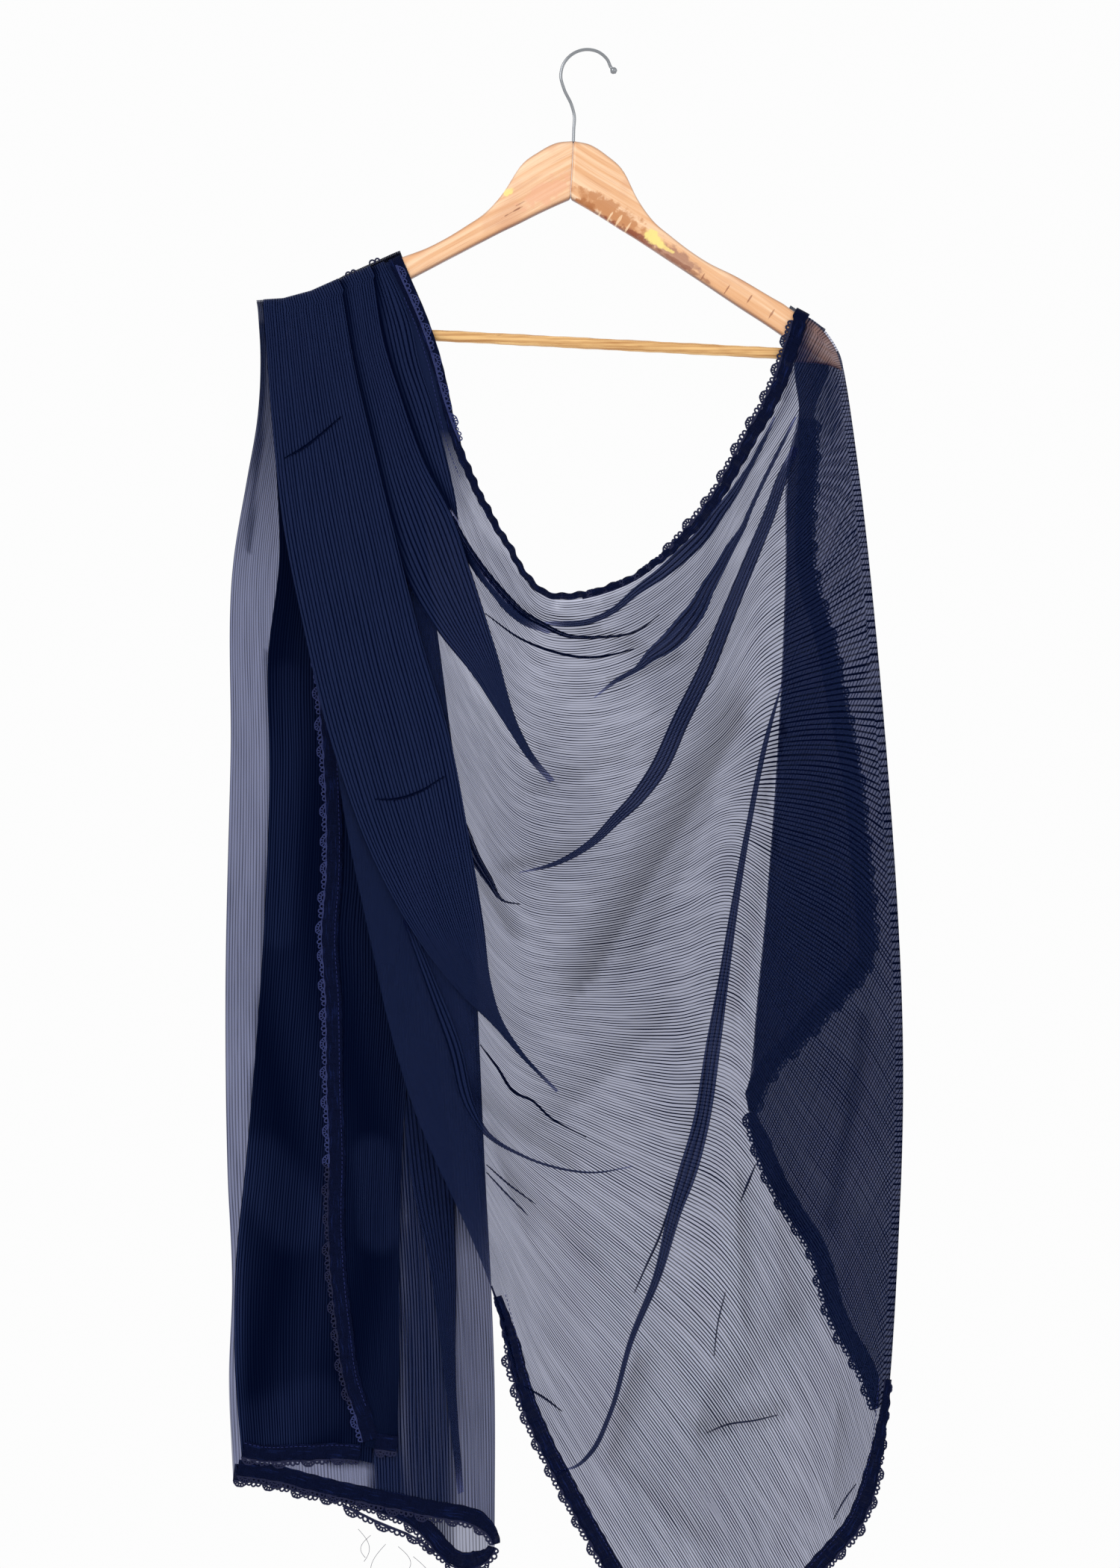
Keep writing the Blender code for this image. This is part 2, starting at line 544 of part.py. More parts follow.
def build_edges(sheets):
    shares, flat = front_sheet()
    neckline, long_edge = flat[0], flat[-1]
    long_edge = long_edge[long_edge[:, 1] > LONG_EDGE_TOP]
    end_edge = trace(flat[shares > TURN_SHARE[1], -1], 60, 0, END_EDGE_STOP)
    lace_panel, middle = sheets["fall_lace_panel"], sheets["fall_middle"]
    flap, inner, outer = sheets["right_end_flap"], sheets["fall_inner"], sheets["fall_outer"]
    # edge line, which side of it is outward, front or back, the sheet's layer, the hem's layer, steps
    edges = {
        "long_edge": (long_edge, -1, -1, 0, 1, 14), "end_edge": (end_edge, 1, -1, 0, 1, 10),
        "turnback": (trace(turnback_edge(), 40, *TURNBACK_HEM_SHARE), -1, 1, 0, 1, 12),
        "end_flap": (trace(flap[-1], 20, 0.06, 0.94), -1, 1, 1, 2, 8),
        "end_flap_side": (trace(flap[:, -1], 80, FLAP_SIDE_START, 0.985), 1, 1, 1, 2, 16),
        "lace_panel_side": (trace(lace_panel[:, 0], 80, LACE_PANEL_START, 0.99), -1, 1, 0, -1, 22),
        "lace_panel": (trace(lace_panel[-1], 4, 0.5, 1), -1, 1, 0, -1, 3),
        "middle": (trace(middle[-1], 20, 0, 0.88), -1, 1, 1, 0, 5),
        "fall_inner": (inner[-1], -1, 1, 2, 1, 10), "fall_outer": (outer[-1], -1, 1, 3, 4, 10),
    }
    hem("neckline_hem", neckline, 1, -1, 1, 34, NECK_HEM_WIDTHS, (True, True))
    lace("neckline_lace_right", trace(neckline, 80, *NECK_LACE_RIGHT), 1, -1, 0)
    lace("neckline_lace_left", trace(neckline, 80, *NECK_LACE_LEFT), -1, -1, 2)
    for name, (edge, outward, side, layer, hem_layer, count) in edges.items():
        hem(name + "_hem", edge, outward, side, hem_layer, count)
        lace(name + "_lace", edge, outward, side, layer)


def main():
    for old in list(bpy.data.objects):
        bpy.data.objects.remove(old)
    hook()
    hanger_arm("hanger_left_arm", -1)
    hanger_arm("hanger_right_arm", 1)
    hanger_bar()
    sheets = back_sheets()
    build_sheets(sheets)
    build_edges(sheets)


main()
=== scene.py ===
# Dupatta stole of sheer crinkled chiffon with lace edges, draped over a wooden hanger.
# Flat places are in millimetres as (across, drop): to the right, and down from the hook's seat.
import math
import bmesh
import bpy
import numpy as np
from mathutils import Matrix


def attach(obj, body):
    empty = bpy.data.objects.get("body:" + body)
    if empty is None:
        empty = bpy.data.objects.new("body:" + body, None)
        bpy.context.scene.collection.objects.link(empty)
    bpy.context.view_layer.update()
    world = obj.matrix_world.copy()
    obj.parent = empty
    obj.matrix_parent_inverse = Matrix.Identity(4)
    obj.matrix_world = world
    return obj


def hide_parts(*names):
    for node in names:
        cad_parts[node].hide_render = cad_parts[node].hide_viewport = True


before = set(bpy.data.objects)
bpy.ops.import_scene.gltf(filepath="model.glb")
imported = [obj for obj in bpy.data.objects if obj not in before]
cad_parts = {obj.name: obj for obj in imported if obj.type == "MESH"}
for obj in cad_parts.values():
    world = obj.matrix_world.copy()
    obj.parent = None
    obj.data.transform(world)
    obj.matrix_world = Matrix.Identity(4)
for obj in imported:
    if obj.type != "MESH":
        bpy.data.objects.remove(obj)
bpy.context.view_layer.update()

mm = 0.001
rng = np.random.default_rng(11)

hanger = {
    "foot": (-10.1, 71.9),            # where the wire enters the wood
    "tilt": math.radians(2.98),       # the right end hangs lower
    "halfThick": 6.0,
    "roundOver": 3.6,                 # radius of the arms' worked edges
    "seamGap": 0.15,
    "seamChamfer": 0.9,
    "barRadius": 4.5,
    "barHeight": -159.8,
    "barReach": 176.0,
    "wireRadius": 1.3,
    "ballRadius": 2.9,
    # reach, top, bottom, half thickness
    "arm": [
        (0, 0, -46, 6), (14, -2.5, -53, 6), (27, -10, -60, 6), (41, -22, -68, 6), (53, -43, -74.5, 6),
        (65, -58.5, -81.5, 6), (82, -72, -91.5, 6), (110, -90, -108, 6), (135, -101, -123, 6),
        (166, -117, -141, 6), (174, -121, -146, 6), (179, -124.3, -166, 6), (200, -135, -166.2, 5.5),
        (211, -146, -167, 4.6), (219, -159, -169.5, 3.2), (222.4, -169, -171, 1.4)],
    # across, height above the seat
    "hook": [
        (23.6, -17.8), (21.6, -15.2), (20.2, -13.6), (16.6, -6.4), (9.6, -0.6), (0, 1.3), (-10.4, -2.0),
        (-18, -10.2), (-20.2, -19.6), (-17.8, -29.7), (-11.6, -43), (-9.4, -52), (-9.9, -62), (-10.2, -73)],
}

cloth = {
    "width": 0.72,                    # the chiffon's width, metres
    "layer": 1.5,                     # from one laid sheet to the next
    "seat": 7.0,                      # first sheet, from the hanger's middle plane
    "crinkle": 2.1,                   # from one crinkle line to the next, before the drape pulls them open
    "foldHalf": 0.3,                  # half the thickness of a laid fold
    "ease": 0.4,                      # how far it stands off the arm's rounded top
    "turnSteps": 9,
    "clear": 8.0,                     # where the flat part begins, below a turned edge
    "rowStep": 5.0,                   # mesh size along a sheet
}

# The front sheet: sections from the left arm round to the right shoulder, at these shares of the width
widthMarks = (0.0, 0.2, 0.4, 0.6, 0.8, 1.0)
frontSections = [
    ((-147, 164), (-157, 168.6), (-167, 173), (-177, 177.6), (-185, 181.2), (-193, 185)),
    ((-115, 248), (-135, 330), (-150, 400), (-164, 460), (-180, 505), (-200, 548)),
    ((-97, 320), (-118, 430), (-132, 520), (-147, 590), (-166, 650), (-174, 694)),
    ((-62, 390), (-85, 510), (-98, 620), (-112, 710), (-126, 782), (-137, 839)),
    ((-29, 431), (-40, 560), (-45, 690), (-56, 800), (-68, 895), (-76, 980)),
    ((10, 428), (15, 565), (20, 690), (10, 825), (-18, 955), (-50, 1075)),
    ((48, 410), (65, 545), (75, 672), (62, 840), (35, 1010), (-18, 1143)),
    ((88, 372), (100, 520), (112, 655), (110, 850), (85, 1070), (22, 1215)),
    ((128, 305), (140, 460), (160, 690), (165, 930), (130, 1140), (60, 1278)),
    ((150, 262), (185, 430), (215, 730), (210, 1010), (160, 1195), (82, 1314)),
]
# share of the width, across, drop
rightEdge = [
    (0.0, 167, 206.3), (0.02, 183.4, 215.8), (0.04, 194.4, 227.8), (0.06, 201.9, 241.4), (0.08, 205, 254),
    (0.13, 213, 305), (0.2, 224.5, 400),
    (0.4, 252, 786), (0.5, 249, 936), (0.6, 237, 1102), (0.8, 176, 1222), (1.0, 97, 1340),
]
turnShare = (0.57, 0.62)
leftOverhang = [(-262, 204), (-240, 202.6)]

pleats = {
    "pleatA": dict(
        left=[(-256, 203), (-253, 242), (-249, 294), (-240, 376), (-224, 458), (-203, 546), (-167, 646),
              (-126, 716), (-98, 750), (-74, 773), (-53, 797), (-24, 826)],
        right=[(-195, 187), (-184, 251), (-167, 324), (-151, 389), (-132, 465), (-107, 551), (-94, 619),
               (-81, 696), (-75, 742), (-68, 766), (-51, 793.5), (-22, 825)],
        columns=34, layer=3, node="pleat_a"),
    "pleatB": dict(
        left=[(-198, 188), (-186, 251), (-170, 324), (-152, 398), (-134, 436), (-116, 464), (-91, 495),
              (-62, 539), (-47, 562), (-29, 582)],
        right=[(-170, 175.6), (-160, 235), (-149, 270), (-130, 324), (-106, 371), (-91, 416), (-72, 476),
               (-51, 543), (-41, 561), (-25, 580)],
        columns=26, layer=2, node="pleat_b"),
    "pleatC": dict(
        left=[(-175, 177.8), (-165, 235), (-154, 272), (-135, 326), (-116, 366), (-103, 388), (-88, 416),
              (-76, 431), (-64, 446), (-50, 457), (-30, 464)],
        right=[(-160, 170.8), (-150, 190), (-141, 212), (-132, 251), (-121, 285), (-112, 320), (-104, 356),
               (-99, 385), (-82, 411), (-70, 425), (-57, 441), (-42, 454), (-24, 462.5)],
        columns=26, layer=1, node="pleat_c"),
}
# laid folds: across, drop and width, from the shoulder to the tip
foldLayer = 1.15
laidFolds = {
    "foldOne": [(149.7, 292, 1), (138, 316, 3), (130, 331, 3.5), (124, 341, 5), (115, 355, 7), (105, 368, 9),
                (93, 385, 10.5), (78, 400, 11), (61, 415, 9), (39, 431, 6), (21, 446, 4.5), (0, 455, 4),
                (-18, 456.5, 4), (-36, 455, 0.5)],
    "foldTwo": [(166, 292, 1.5), (155, 314, 2.2), (140, 344, 2.6), (129, 368, 3), (124, 380, 4),
                (113.5, 397, 7), (106, 411, 8.5), (96, 428, 11), (88, 444, 14), (79, 456, 16),
                (66.5, 470, 15), (50.5, 482, 9), (40, 492, 4), (24, 501, 3), (6, 515, 0.5)],
    "foldThree": [(166, 316, 5), (155, 341, 8), (146, 367, 9), (132, 401, 10), (113, 447, 11),
                  (94, 494, 12.5), (75, 532, 13), (55, 574, 13), (41, 593, 11), (22, 612, 8), (7, 627, 6),
                  (-25, 646, 3), (-53, 653, 0.5)],
    "foldFour": [(156, 500, 0.5), (144, 542, 3), (127, 623, 4), (115, 693, 6), (108, 740, 8), (101, 785, 11),
                 (89, 858, 13), (79, 893, 14), (71, 917, 11), (56, 972, 6), (36, 1021, 4), (18, 1082, 3),
                 (4, 1111, 3), (-7, 1122, 2), (-24, 1127, 0.5)],
    "foldFive": [(-143, 690, 5), (-124, 738, 8), (-104, 792, 10), (-92, 838, 8), (-80, 858, 4),
                 (-50, 877, 1.8), (-20, 887, 1.5), (6, 890, 1.2), (37, 885, 0.5)],
}
foldNodes = {"foldOne": "fold_1", "foldTwo": "fold_2", "foldThree": "fold_3", "foldFour": "fold_4",
             "foldFive": "fold_5"}
# narrow pinched creases: across, drop and width
pinches = [
    [(-106, 371, 2), (-98, 388, 4), (-88, 404, 4.5), (-76, 420, 4.5), (-64, 434, 5), (-50, 448, 5),
     (-36, 456, 4), (-14, 466, 3), (8, 467, 2), (40, 462, 1.2), (58, 449, 0.4)],
    [(-112, 590, 1), (-98, 616, 7), (-88, 641, 8), (-77, 659, 6), (-66, 675, 1.5), (-52, 678, 0.4)],
    [(-80, 448, 0.4), (-52, 468, 1.4), (-24, 479, 1.8), (0, 483, 1.8), (24, 480, 1.2), (38, 476, 0.4)],
    [(-84, 789, 0.4), (-71, 806, 1.6), (-56, 827, 2), (-43, 833, 1.6), (-29, 846, 1.4), (0, 862, 0.4)],
    [(-50, 1059, 0.6), (-34, 1068, 1.6), (-19, 1079, 0.4)],
    [(134, 884, 0.4), (128, 898, 1.6), (122, 913, 0.4)],
    [(95, 1097, 0.4), (110, 1091, 1.0), (135, 1087, 0.9), (152, 1083, 0.4)],
    [(-75, 980, 0.8), (-66, 1006, 2.4), (-60, 1030, 1.6), (-53, 1056, 0.4)],
    [(66, 915, 0.4), (58, 940, 1.4), (48, 962, 1.2), (38, 985, 0.4)],
    [(-79, 884, 0.4), (-62, 899, 1.1), (-40, 915, 0.4)], [(-79, 890, 0.4), (-64, 906, 1.1), (-46, 924, 0.4)],
    [(196, 1166, 0.4), (205, 1150, 1.0), (214, 1138, 0.4)],
    [(110, 985, 0.4), (104, 1010, 0.7), (101, 1036, 0.4)],
]
# the same, on the widest pleat
pleatPinches = [
    [(-239, 325, 0.4), (-226, 318, 1.8), (-210, 306, 1.5), (-194, 292, 0.4)],
    [(-167, 595, 0.4), (-152, 595, 1.6), (-134, 590, 1.6), (-112, 577, 0.4)],
]
# soft creases of the front: start, end, height, half width
frontCreases = [
    (122, 530, 3, 735, 3.5, 26), (148, 600, 60, 800, 3.0, 30), (-80, 520, 30, 600, -2.5, 28),
    (-85, 700, 40, 780, 3.0, 30), (-80, 860, 60, 900, -2.5, 30), (125, 880, 135, 1060, 3.0, 26),
    (205, 500, 225, 900, -2.5, 28), (-40, 960, 60, 1180, 3.0, 32), (60, 1080, 165, 1090, -2.0, 28),
]
fall = dict(
    left=[(-262, 203), (-260, 240), (-262, 286), (-271, 340), (-281, 399), (-284, 560), (-288, 760),
          (-286, 893), (-282, 985), (-284, 1060), (-280, 1139)],
    right=[(-146, 164), (-143, 240), (-133, 370), (-118, 467), (-107, 551), (-92, 650), (-86, 769),
           (-80, 897), (-75, 985), (-72, 1060), (-71, 1196)])
backCreases = [
    (-250, 330, -255, 1050, 2.5, 36), (-168, 300, -165, 1100, -2.0, 36), (-105, 620, -98, 1150, 2.0, 34),
    (207, 840, 190, 950, 2.0, 30), (200, 380, 225, 700, 2.0, 34),
]
creaseEnd = 0.35
cowlSag = dict(across=10, reach=135, depth=15, start=(250, 620), easing=(720, 1300), left=0.35)
freeReach = (8, 70)
frontSpread = 1.5
backSpread = 1.0
# gathered stretches, where the yarns bunch up to a crease and the crease's shade is painted darker: start,
# end, strength, half width.
# Each is soft on its left as one looks from start to end, and sharp on its right.
gathersAndShade = [
    (122, 530, 3, 735, 1.0, 20), (96, 600, 40, 720, 0.4, 20), (156, 540, 142, 600, 0.8, 7),
    (-60, 440, 40, 470, 0.6, 9), (20, 500, 70, 480, 0.6, 8), (-10, 640, -60, 650, 0.8, 9),
    (-20, 880, -90, 830, 0.5, 14), (124, 1010, 120, 900, 0.6, 9), (20, 1100, 40, 1040, 0.8, 12),
    (160, 1000, 150, 900, 0.3, 18), (152, 1083, 95, 1097, 0.8, 10), (88, 1100, 100, 1060, 0.4, 12),
    (196, 1160, 200, 1080, 0.4, 7),
    (-60, 700, -86, 660, 0.7, 8), (110, 470, 60, 560, 0.45, 14), (150, 620, 120, 760, 0.4, 12),
    (60, 770, -30, 850, 0.35, 18), (100, 820, 60, 960, 0.4, 12), (-50, 930, -75, 860, 0.4, 10),
    (0, 960, -60, 900, 0.35, 14), (90, 1180, 20, 1120, 0.35, 14), (170, 1000, 120, 1060, 0.3, 16),
    (-40, 560, -95, 480, 0.2, 7), (30, 560, -40, 590, 0.4, 10),
]
# strips with more or fewer layers over each other: line, amount, half width
frontStrips = [
    ([(153, 278), (145.5, 292), (137, 309), (129.5, 323), (119, 343), (108, 357.6), (97, 370), (88, 382),
      (73, 396), (55, 410), (9, 436), (-24, 440)], -0.22, 2.8),
    ([(-95, 345), (-78, 376), (-58, 404), (-38, 424)], -0.12, 6),
    ([(-100, 480), (-72, 520), (-46, 552)], -0.08, 8),
    ([(186, 222), (204, 248)], -0.26, 13),
    ([(-20, 470), (9, 524), (30, 560)], -0.05, 40),
]
fallStrips = [
    ([(-259, 215), (-258, 268), (-261, 310), (-266, 352), (-270, 395)], 0.16, 2.6),
    ([(-254, 482), (-250, 573), (-254, 687), (-258, 755), (-266, 860)], 0.2, 4.0),
]
# where the shade among the falls is less
fallGlows = [
    ([(-170, 880), (-165, 940)], -0.45, 16), ([(-262, 890), (-230, 930)], -0.35, 26),
    ([(-262, 1100), (-215, 1080)], -0.3, 24), ([(-240, 500), (-245, 700)], -0.2, 14),
]

print("helpers")


def smooth(values, knots, at):
    # values that change smoothly between knots
    v, k = np.asarray(values, float), np.asarray(knots, float)
    at = np.asarray(at, float)
    span = np.diff(k)
    shape = (-1,) + (1,) * (v.ndim - 1)
    slope = np.diff(v, axis=0) / span.reshape(shape)
    before = (span[1:] / (span[1:] + span[:-1])).reshape(shape)
    tangent = np.concatenate([slope[:1], slope[:-1] * before + slope[1:] * (1 - before), slope[-1:]])
    i = np.clip(np.searchsorted(k, at, side="right") - 1, 0, len(span) - 1)
    h = span[i].reshape(shape)
    t = ((at - k[i]) / span[i]).reshape(shape)
    return ((2 * t**3 - 3 * t**2 + 1) * v[i] + (t**3 - 2 * t**2 + t) * h * tangent[i]
            + (3 * t**2 - 2 * t**3) * v[i + 1] + (t**3 - t**2) * h * tangent[i + 1])


def summed(steps):
    return np.concatenate([[0], np.cumsum(steps)])


def lengths(points):
    return summed(np.linalg.norm(np.diff(points[:, :2], axis=0), axis=1))


def sample(points, run, at):
    return np.stack([np.interp(at, run, points[:, c]) for c in range(points.shape[1])], axis=1)


def trace(points, count, start=0.0, end=1.0):
    # even steps along a line, from one share of its length to another
    run = lengths(points)
    return sample(points, run, np.linspace(start * run[-1], end * run[-1], count))


def smoothLine(points, count):
    p = np.asarray(points, float)
    return trace(smooth(p, lengths(p), np.linspace(0, lengths(p)[-1], 24 * len(p))), count)


def squareTo(points):
    run = np.gradient(points[:, :2], axis=0)
    run /= np.maximum(np.linalg.norm(run, axis=1), 1e-9)[:, None]
    return np.stack([run[:, 1], -run[:, 0]], axis=1)


def ramp(value, low, high):
    t = np.clip((np.asarray(value, float) - low) / (high - low), 0, 1)
    return t * t * (3 - 2 * t)


def flatOf(grid):
    return np.stack([grid[..., 0], -grid[..., 2]], axis=-1)


def besideLine(flat, a, b):
    # how far along a straight line each place lies, from 0 to 1, and how far away from it
    a, run = np.asarray(a, float), np.subtract(b, a, dtype=float)
    t = np.clip(((flat - a) @ run) / (run @ run), 0, 1)
    return t, np.linalg.norm(flat - (a + t[..., None] * run), axis=-1)


def distanceTo(flat, points):
    p = np.asarray(points, float)[:, :2]
    return np.min([besideLine(flat, a, b)[1] for a, b in zip(p[:-1], p[1:])], axis=0)


def creaseHeight(flat, creases):
    total = np.zeros(flat.shape[:-1])
    for x0, d0, x1, d1, height, half in creases:
        t, away = besideLine(flat, (x0, d0), (x1, d1))
        total += height * (creaseEnd + (1 - creaseEnd) * np.sin(np.pi * t)) * np.exp(-(away / half) ** 2)
    return total


def hangerPoint(reach, height, depth):
    sine, cosine = math.sin(hanger["tilt"]), math.cos(hanger["tilt"])
    across = hanger["foot"][0] + reach * cosine + height * sine
    drop = hanger["foot"][1] + reach * sine - height * cosine
    return (across, depth, -drop)


armTops = [hangerPoint(-reach, top, 0) for reach, top, bottom, half in hanger["arm"] if 110 <= reach <= 200]
leftCrown = np.array(leftOverhang + [(x, -z) for x, y, z in reversed(armTops)], float)
edgeShares = [row[0] for row in rightEdge]
edgePoints = [row[1:] for row in rightEdge]
rightLine = smooth(edgePoints, edgeShares, np.linspace(0, 0.6, 60))


def firstDepth(flat, side):
    # how far a side's first sheet lies from the hanger's middle plane
    free = ramp(np.minimum(distanceTo(flat, rightLine), distanceTo(flat, leftCrown)), *freeReach)
    x, d = flat[..., 0], flat[..., 1]
    ripple = 0.35 * np.sin(x * 0.19 + 2.1 * np.sin(d * 0.011)) * np.sin(d * 0.013 + x * 0.02)
    if side > 0:
        return cloth["seat"] + free * (backSpread + creaseHeight(flat, backCreases) + ripple)
    hang = np.exp(-((x - cowlSag["across"]) / cowlSag["reach"]) ** 2) * ramp(d, *cowlSag["start"])
    hang *= 1 - (1 - cowlSag["left"]) * ramp(d, *cowlSag["easing"])
    spread = frontSpread + cowlSag["depth"] * hang
    return cloth["seat"] + free * (spread + creaseHeight(flat, frontCreases) + ripple)


def lay(flat, side, layer):
    depth = firstDepth(flat, side) + layer * cloth["layer"]
    return np.stack([flat[..., 0], side * depth, -flat[..., 1]], axis=-1)


def turn(edge, outward, side, layer, overWood, share=None):
    # rows that carry a sheet round an edge, from the middle plane to its own depth
    radius = cloth["seat"] + layer * cloth["layer"]
    rows = []
    for angle in np.linspace(0, math.pi / 2, cloth["turnSteps"]):
        shift = radius * math.cos(angle) - (hanger["halfThick"] - cloth["ease"] if overWood else radius)
        flat = edge + outward * shift
        depth = radius * math.sin(angle) * np.ones(len(edge))
        if share is not None:
            depth = radius + (depth - radius) * share
        rows.append(np.stack([flat[:, 0], side * depth, -flat[:, 1]], axis=-1))
    return np.array(rows)


def upward(edge):
    out = squareTo(edge)
    out[out[:, 1] > 0] *= -1
    return out


def clearOf(line, edge):
    # how far along a line it comes clear of the turn over an edge
    run, away = lengths(line), distanceTo(line, edge)
    i = max(1, int(np.argmax(away > cloth["clear"])))
    return run[i - 1] + (run[i] - run[i - 1]) * (cloth["clear"] - away[i - 1]) / (away[i] - away[i - 1])


def tucked(flat, start, end):
    # a sheet's rows, moved to begin and end clear of its turns
    moved = flat.copy()
    for c in range(flat.shape[1]):
        line = flat[:, c]
        run = lengths(line)
        low = clearOf(line, flat[0]) if start else 0
        high = clearOf(line[::-1], flat[-1]) if end else 0
        moved[:, c] = sample(line, run, low + (run[-1] - low - high) * run / run[-1])
    return moved


def hangGrid(flat, side, layer, start=True, end=False):
    parts = [lay(tucked(flat, start, end), side, layer)]
    if start:
        parts.insert(0, turn(flat[0], upward(flat[0]), side, layer, True))
    if end:
        parts.append(turn(flat[-1], upward(flat[-1]), side, layer, True)[::-1])
    return np.concatenate(parts)


def between(left, right, rows, columns, bottom=None):
    across = np.linspace(0, 1, columns)[None, :, None]
    flat = smoothLine(left, rows)[:, None, :] * (1 - across) + smoothLine(right, rows)[:, None, :] * across
    if bottom is not None:
        ease = (np.linspace(0, 1, rows) ** 4)[:, None, None]
        flat += (smoothLine(bottom, columns) - flat[-1])[None] * ease
    return flat


def ribbon(route, least, step, columns, narrowest):
    # a strip along a route of across, drop and width
    middle = smoothLine(route, max(least, int(lengths(np.array(route, float))[-1] / step)))
    half = squareTo(middle) * np.maximum(middle[:, 2:], narrowest) / 2
    return middle[:, None, :2] + half[:, None, :] * np.linspace(-1, 1, columns)[None, :, None]


def onCrown(flat, crown=leftCrown):
    # the top rows eased onto an arm's crown
    flat = flat.copy()
    rise = np.interp(flat[0, :, 0], crown[:, 0], crown[:, 1]) - flat[0, :, 1]
    flat[..., 1] += rise[None, :] * ((1 - np.linspace(0, 1, len(flat))) ** 6)[:, None]
    return flat


def hexColour(text):
    # sRGB hex to linear
    parts = [int(text[i:i + 2], 16) / 255 for i in (1, 3, 5)]
    return tuple(c / 12.92 if c <= 0.04045 else ((c + 0.055) / 1.055) ** 2.4 for c in parts) + (1.0,)


def addNode(tree, kind, links=None, **settings):
    # one node with its settings; links holds socket values, or nodes and sockets to join
    node = tree.nodes.new("ShaderNode" + kind)
    for key, value in settings.items():
        setattr(node, key, value)
    for key, value in (links or {}).items():
        if isinstance(value, bpy.types.Node):
            value = next(out for out in value.outputs if out.enabled)
        if isinstance(value, bpy.types.NodeSocket):
            tree.links.new(value, node.inputs[key])
        else:
            node.inputs[key].default_value = value
    return node


def newMaterial(name):
    made = bpy.data.materials.new(name)
    made.use_nodes = True
    made.node_tree.nodes.clear()
    return made, made.node_tree


def closeMaterial(made, shader):
    addNode(made.node_tree, "OutputMaterial", {"Surface": shader})
    return made


def makePiece(name, points, faces, material, node=None, uv=None, shadeBunchingAndWear=None, dense=None):
    # points in millimetres; uv, the darkening (bunched yarns, wear, painted shade) and dense are one row a
    # point
    mesh = bpy.data.meshes.new(name)
    mesh.from_pydata((np.asarray(points, float).reshape(-1, 3) * mm).tolist(), [], faces)
    if uv is not None:
        corners = np.empty(len(mesh.loops), np.int32)
        mesh.loops.foreach_get("vertex_index", corners)
        layer = mesh.uv_layers.new(name="cloth")
        layer.data.foreach_set("uv", np.asarray(uv, np.float32).reshape(-1, 2)[corners].reshape(-1))
    for label, values in (("shadeBunchingAndWear", shadeBunchingAndWear), ("dense", dense)):
        if values is not None:
            field = mesh.attributes.new(label, "FLOAT", "POINT")
            field.data.foreach_set("value", np.asarray(values, np.float32).reshape(-1))
    mesh.materials.append(material)
    mesh.shade_smooth()
    made = bpy.data.objects.new(name, mesh)
    bpy.context.scene.collection.objects.link(made)
    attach(made, "root")
    if node:
        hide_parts(node)
    return made


def gridFaces(rows, columns, closed=False):
    steps = range(columns if closed else columns - 1)
    return [(r * columns + c, r * columns + (c + 1) % columns, (r + 1) * columns + (c + 1) % columns,
             (r + 1) * columns + c) for r in range(rows - 1) for c in steps]


def endFaces(rows, columns):
    return tuple(range(columns)), tuple((rows - 1) * columns + c for c in range(columns))


def gridUv(grid, shift=(0.0, 0.0)):
    # metres along the rows' run and across them, taken from the middle of each
    down = summed(np.linalg.norm(np.diff(grid, axis=0), axis=-1).mean(axis=1)) * mm + shift[0]
    over = summed(np.linalg.norm(np.diff(grid, axis=1), axis=-1).mean(axis=0)) * mm + shift[1]
    return np.stack(np.meshgrid(down, over, indexing="ij"), axis=-1)


def sheetPiece(name, grid, material, node, uv=None, shadeBunchingAndWear=None, dense=None):
    uv = gridUv(grid, (rng.random(), rng.random())) if uv is None else uv
    return makePiece(name, grid, gridFaces(*grid.shape[:2]), material, node, uv, shadeBunchingAndWear,
                     dense)


def foldedGrid(flat, side, layer, half, start=False, dip=0.0):
    # both faces of a flattened fold, as one closed loop of columns; its edges dip toward the sheet below
    reach = np.cumsum(np.linalg.norm(np.diff(flat, axis=1, prepend=flat[:, :1]), axis=-1), axis=1)
    sink = dip * np.exp(-(np.minimum(reach, reach[:, -1:] - reach) / 3.0) ** 2)
    faces = []
    for offset in (half, -half):
        face = hangGrid(flat, side, layer + offset / cloth["layer"], start)
        face[-len(flat):, :, 1] -= side * sink
        faces.append(face)
    front, back = faces
    middle = (front + back) / 2
    ends = []
    for column, inward in ((0, 1), (-1, -2)):
        out = middle[:, column] - middle[:, inward]
        size = np.maximum(np.linalg.norm(out, axis=1), 1e-6)[:, None]
        ends.append(middle[:, column] + out / size * np.minimum(half, size))
    return np.concatenate([ends[0][:, None], front, ends[1][:, None], back[:, ::-1]], axis=1)


def foldedPiece(name, flat, side, layer, material, node, start=False, dip=0.0, fade=(0.0, 0.0), thin=None,
                under=None):
    # fade is how far each end takes to grow sheer, in millimetres; thin is a sheer strip along the fold;
    # under is the edge of a fold that lies on this one, along which a painted shadow darkens this one
    grid = foldedGrid(flat, side, layer, cloth["foldHalf"], start, dip)
    rows, columns = grid.shape[:2]
    uv = gridUv(grid, (rng.random(), rng.random()))
    run = summed(np.linalg.norm(np.diff(grid[:, columns // 4], axis=0), axis=-1))
    dense, shadeBunchingAndWear = np.zeros((2, rows, columns))
    for distance, length in ((run, fade[0]), (run[-1] - run, fade[1])):
        if length:
            dense -= 0.6 * (1 - ramp(distance, 0, length))[:, None]
    if thin is not None:
        dense -= 0.95 * (1 - ramp(distanceTo(flatOf(grid), thin[0]), thin[1] * 0.7, thin[1] * 1.2))
    if under is not None:
        # a painted shadow along the edge of the fold that lies on this one
        shadeBunchingAndWear = np.exp(-(distanceTo(flatOf(grid), smoothLine(under, 60)) / 5.0) ** 2)
    first, last = endFaces(rows, columns)
    faces = gridFaces(rows, columns, True) + ([] if start else [first[::-1]]) + [last]
    return makePiece(name, grid, faces, material, node, uv, shadeBunchingAndWear, dense)


print("materials")

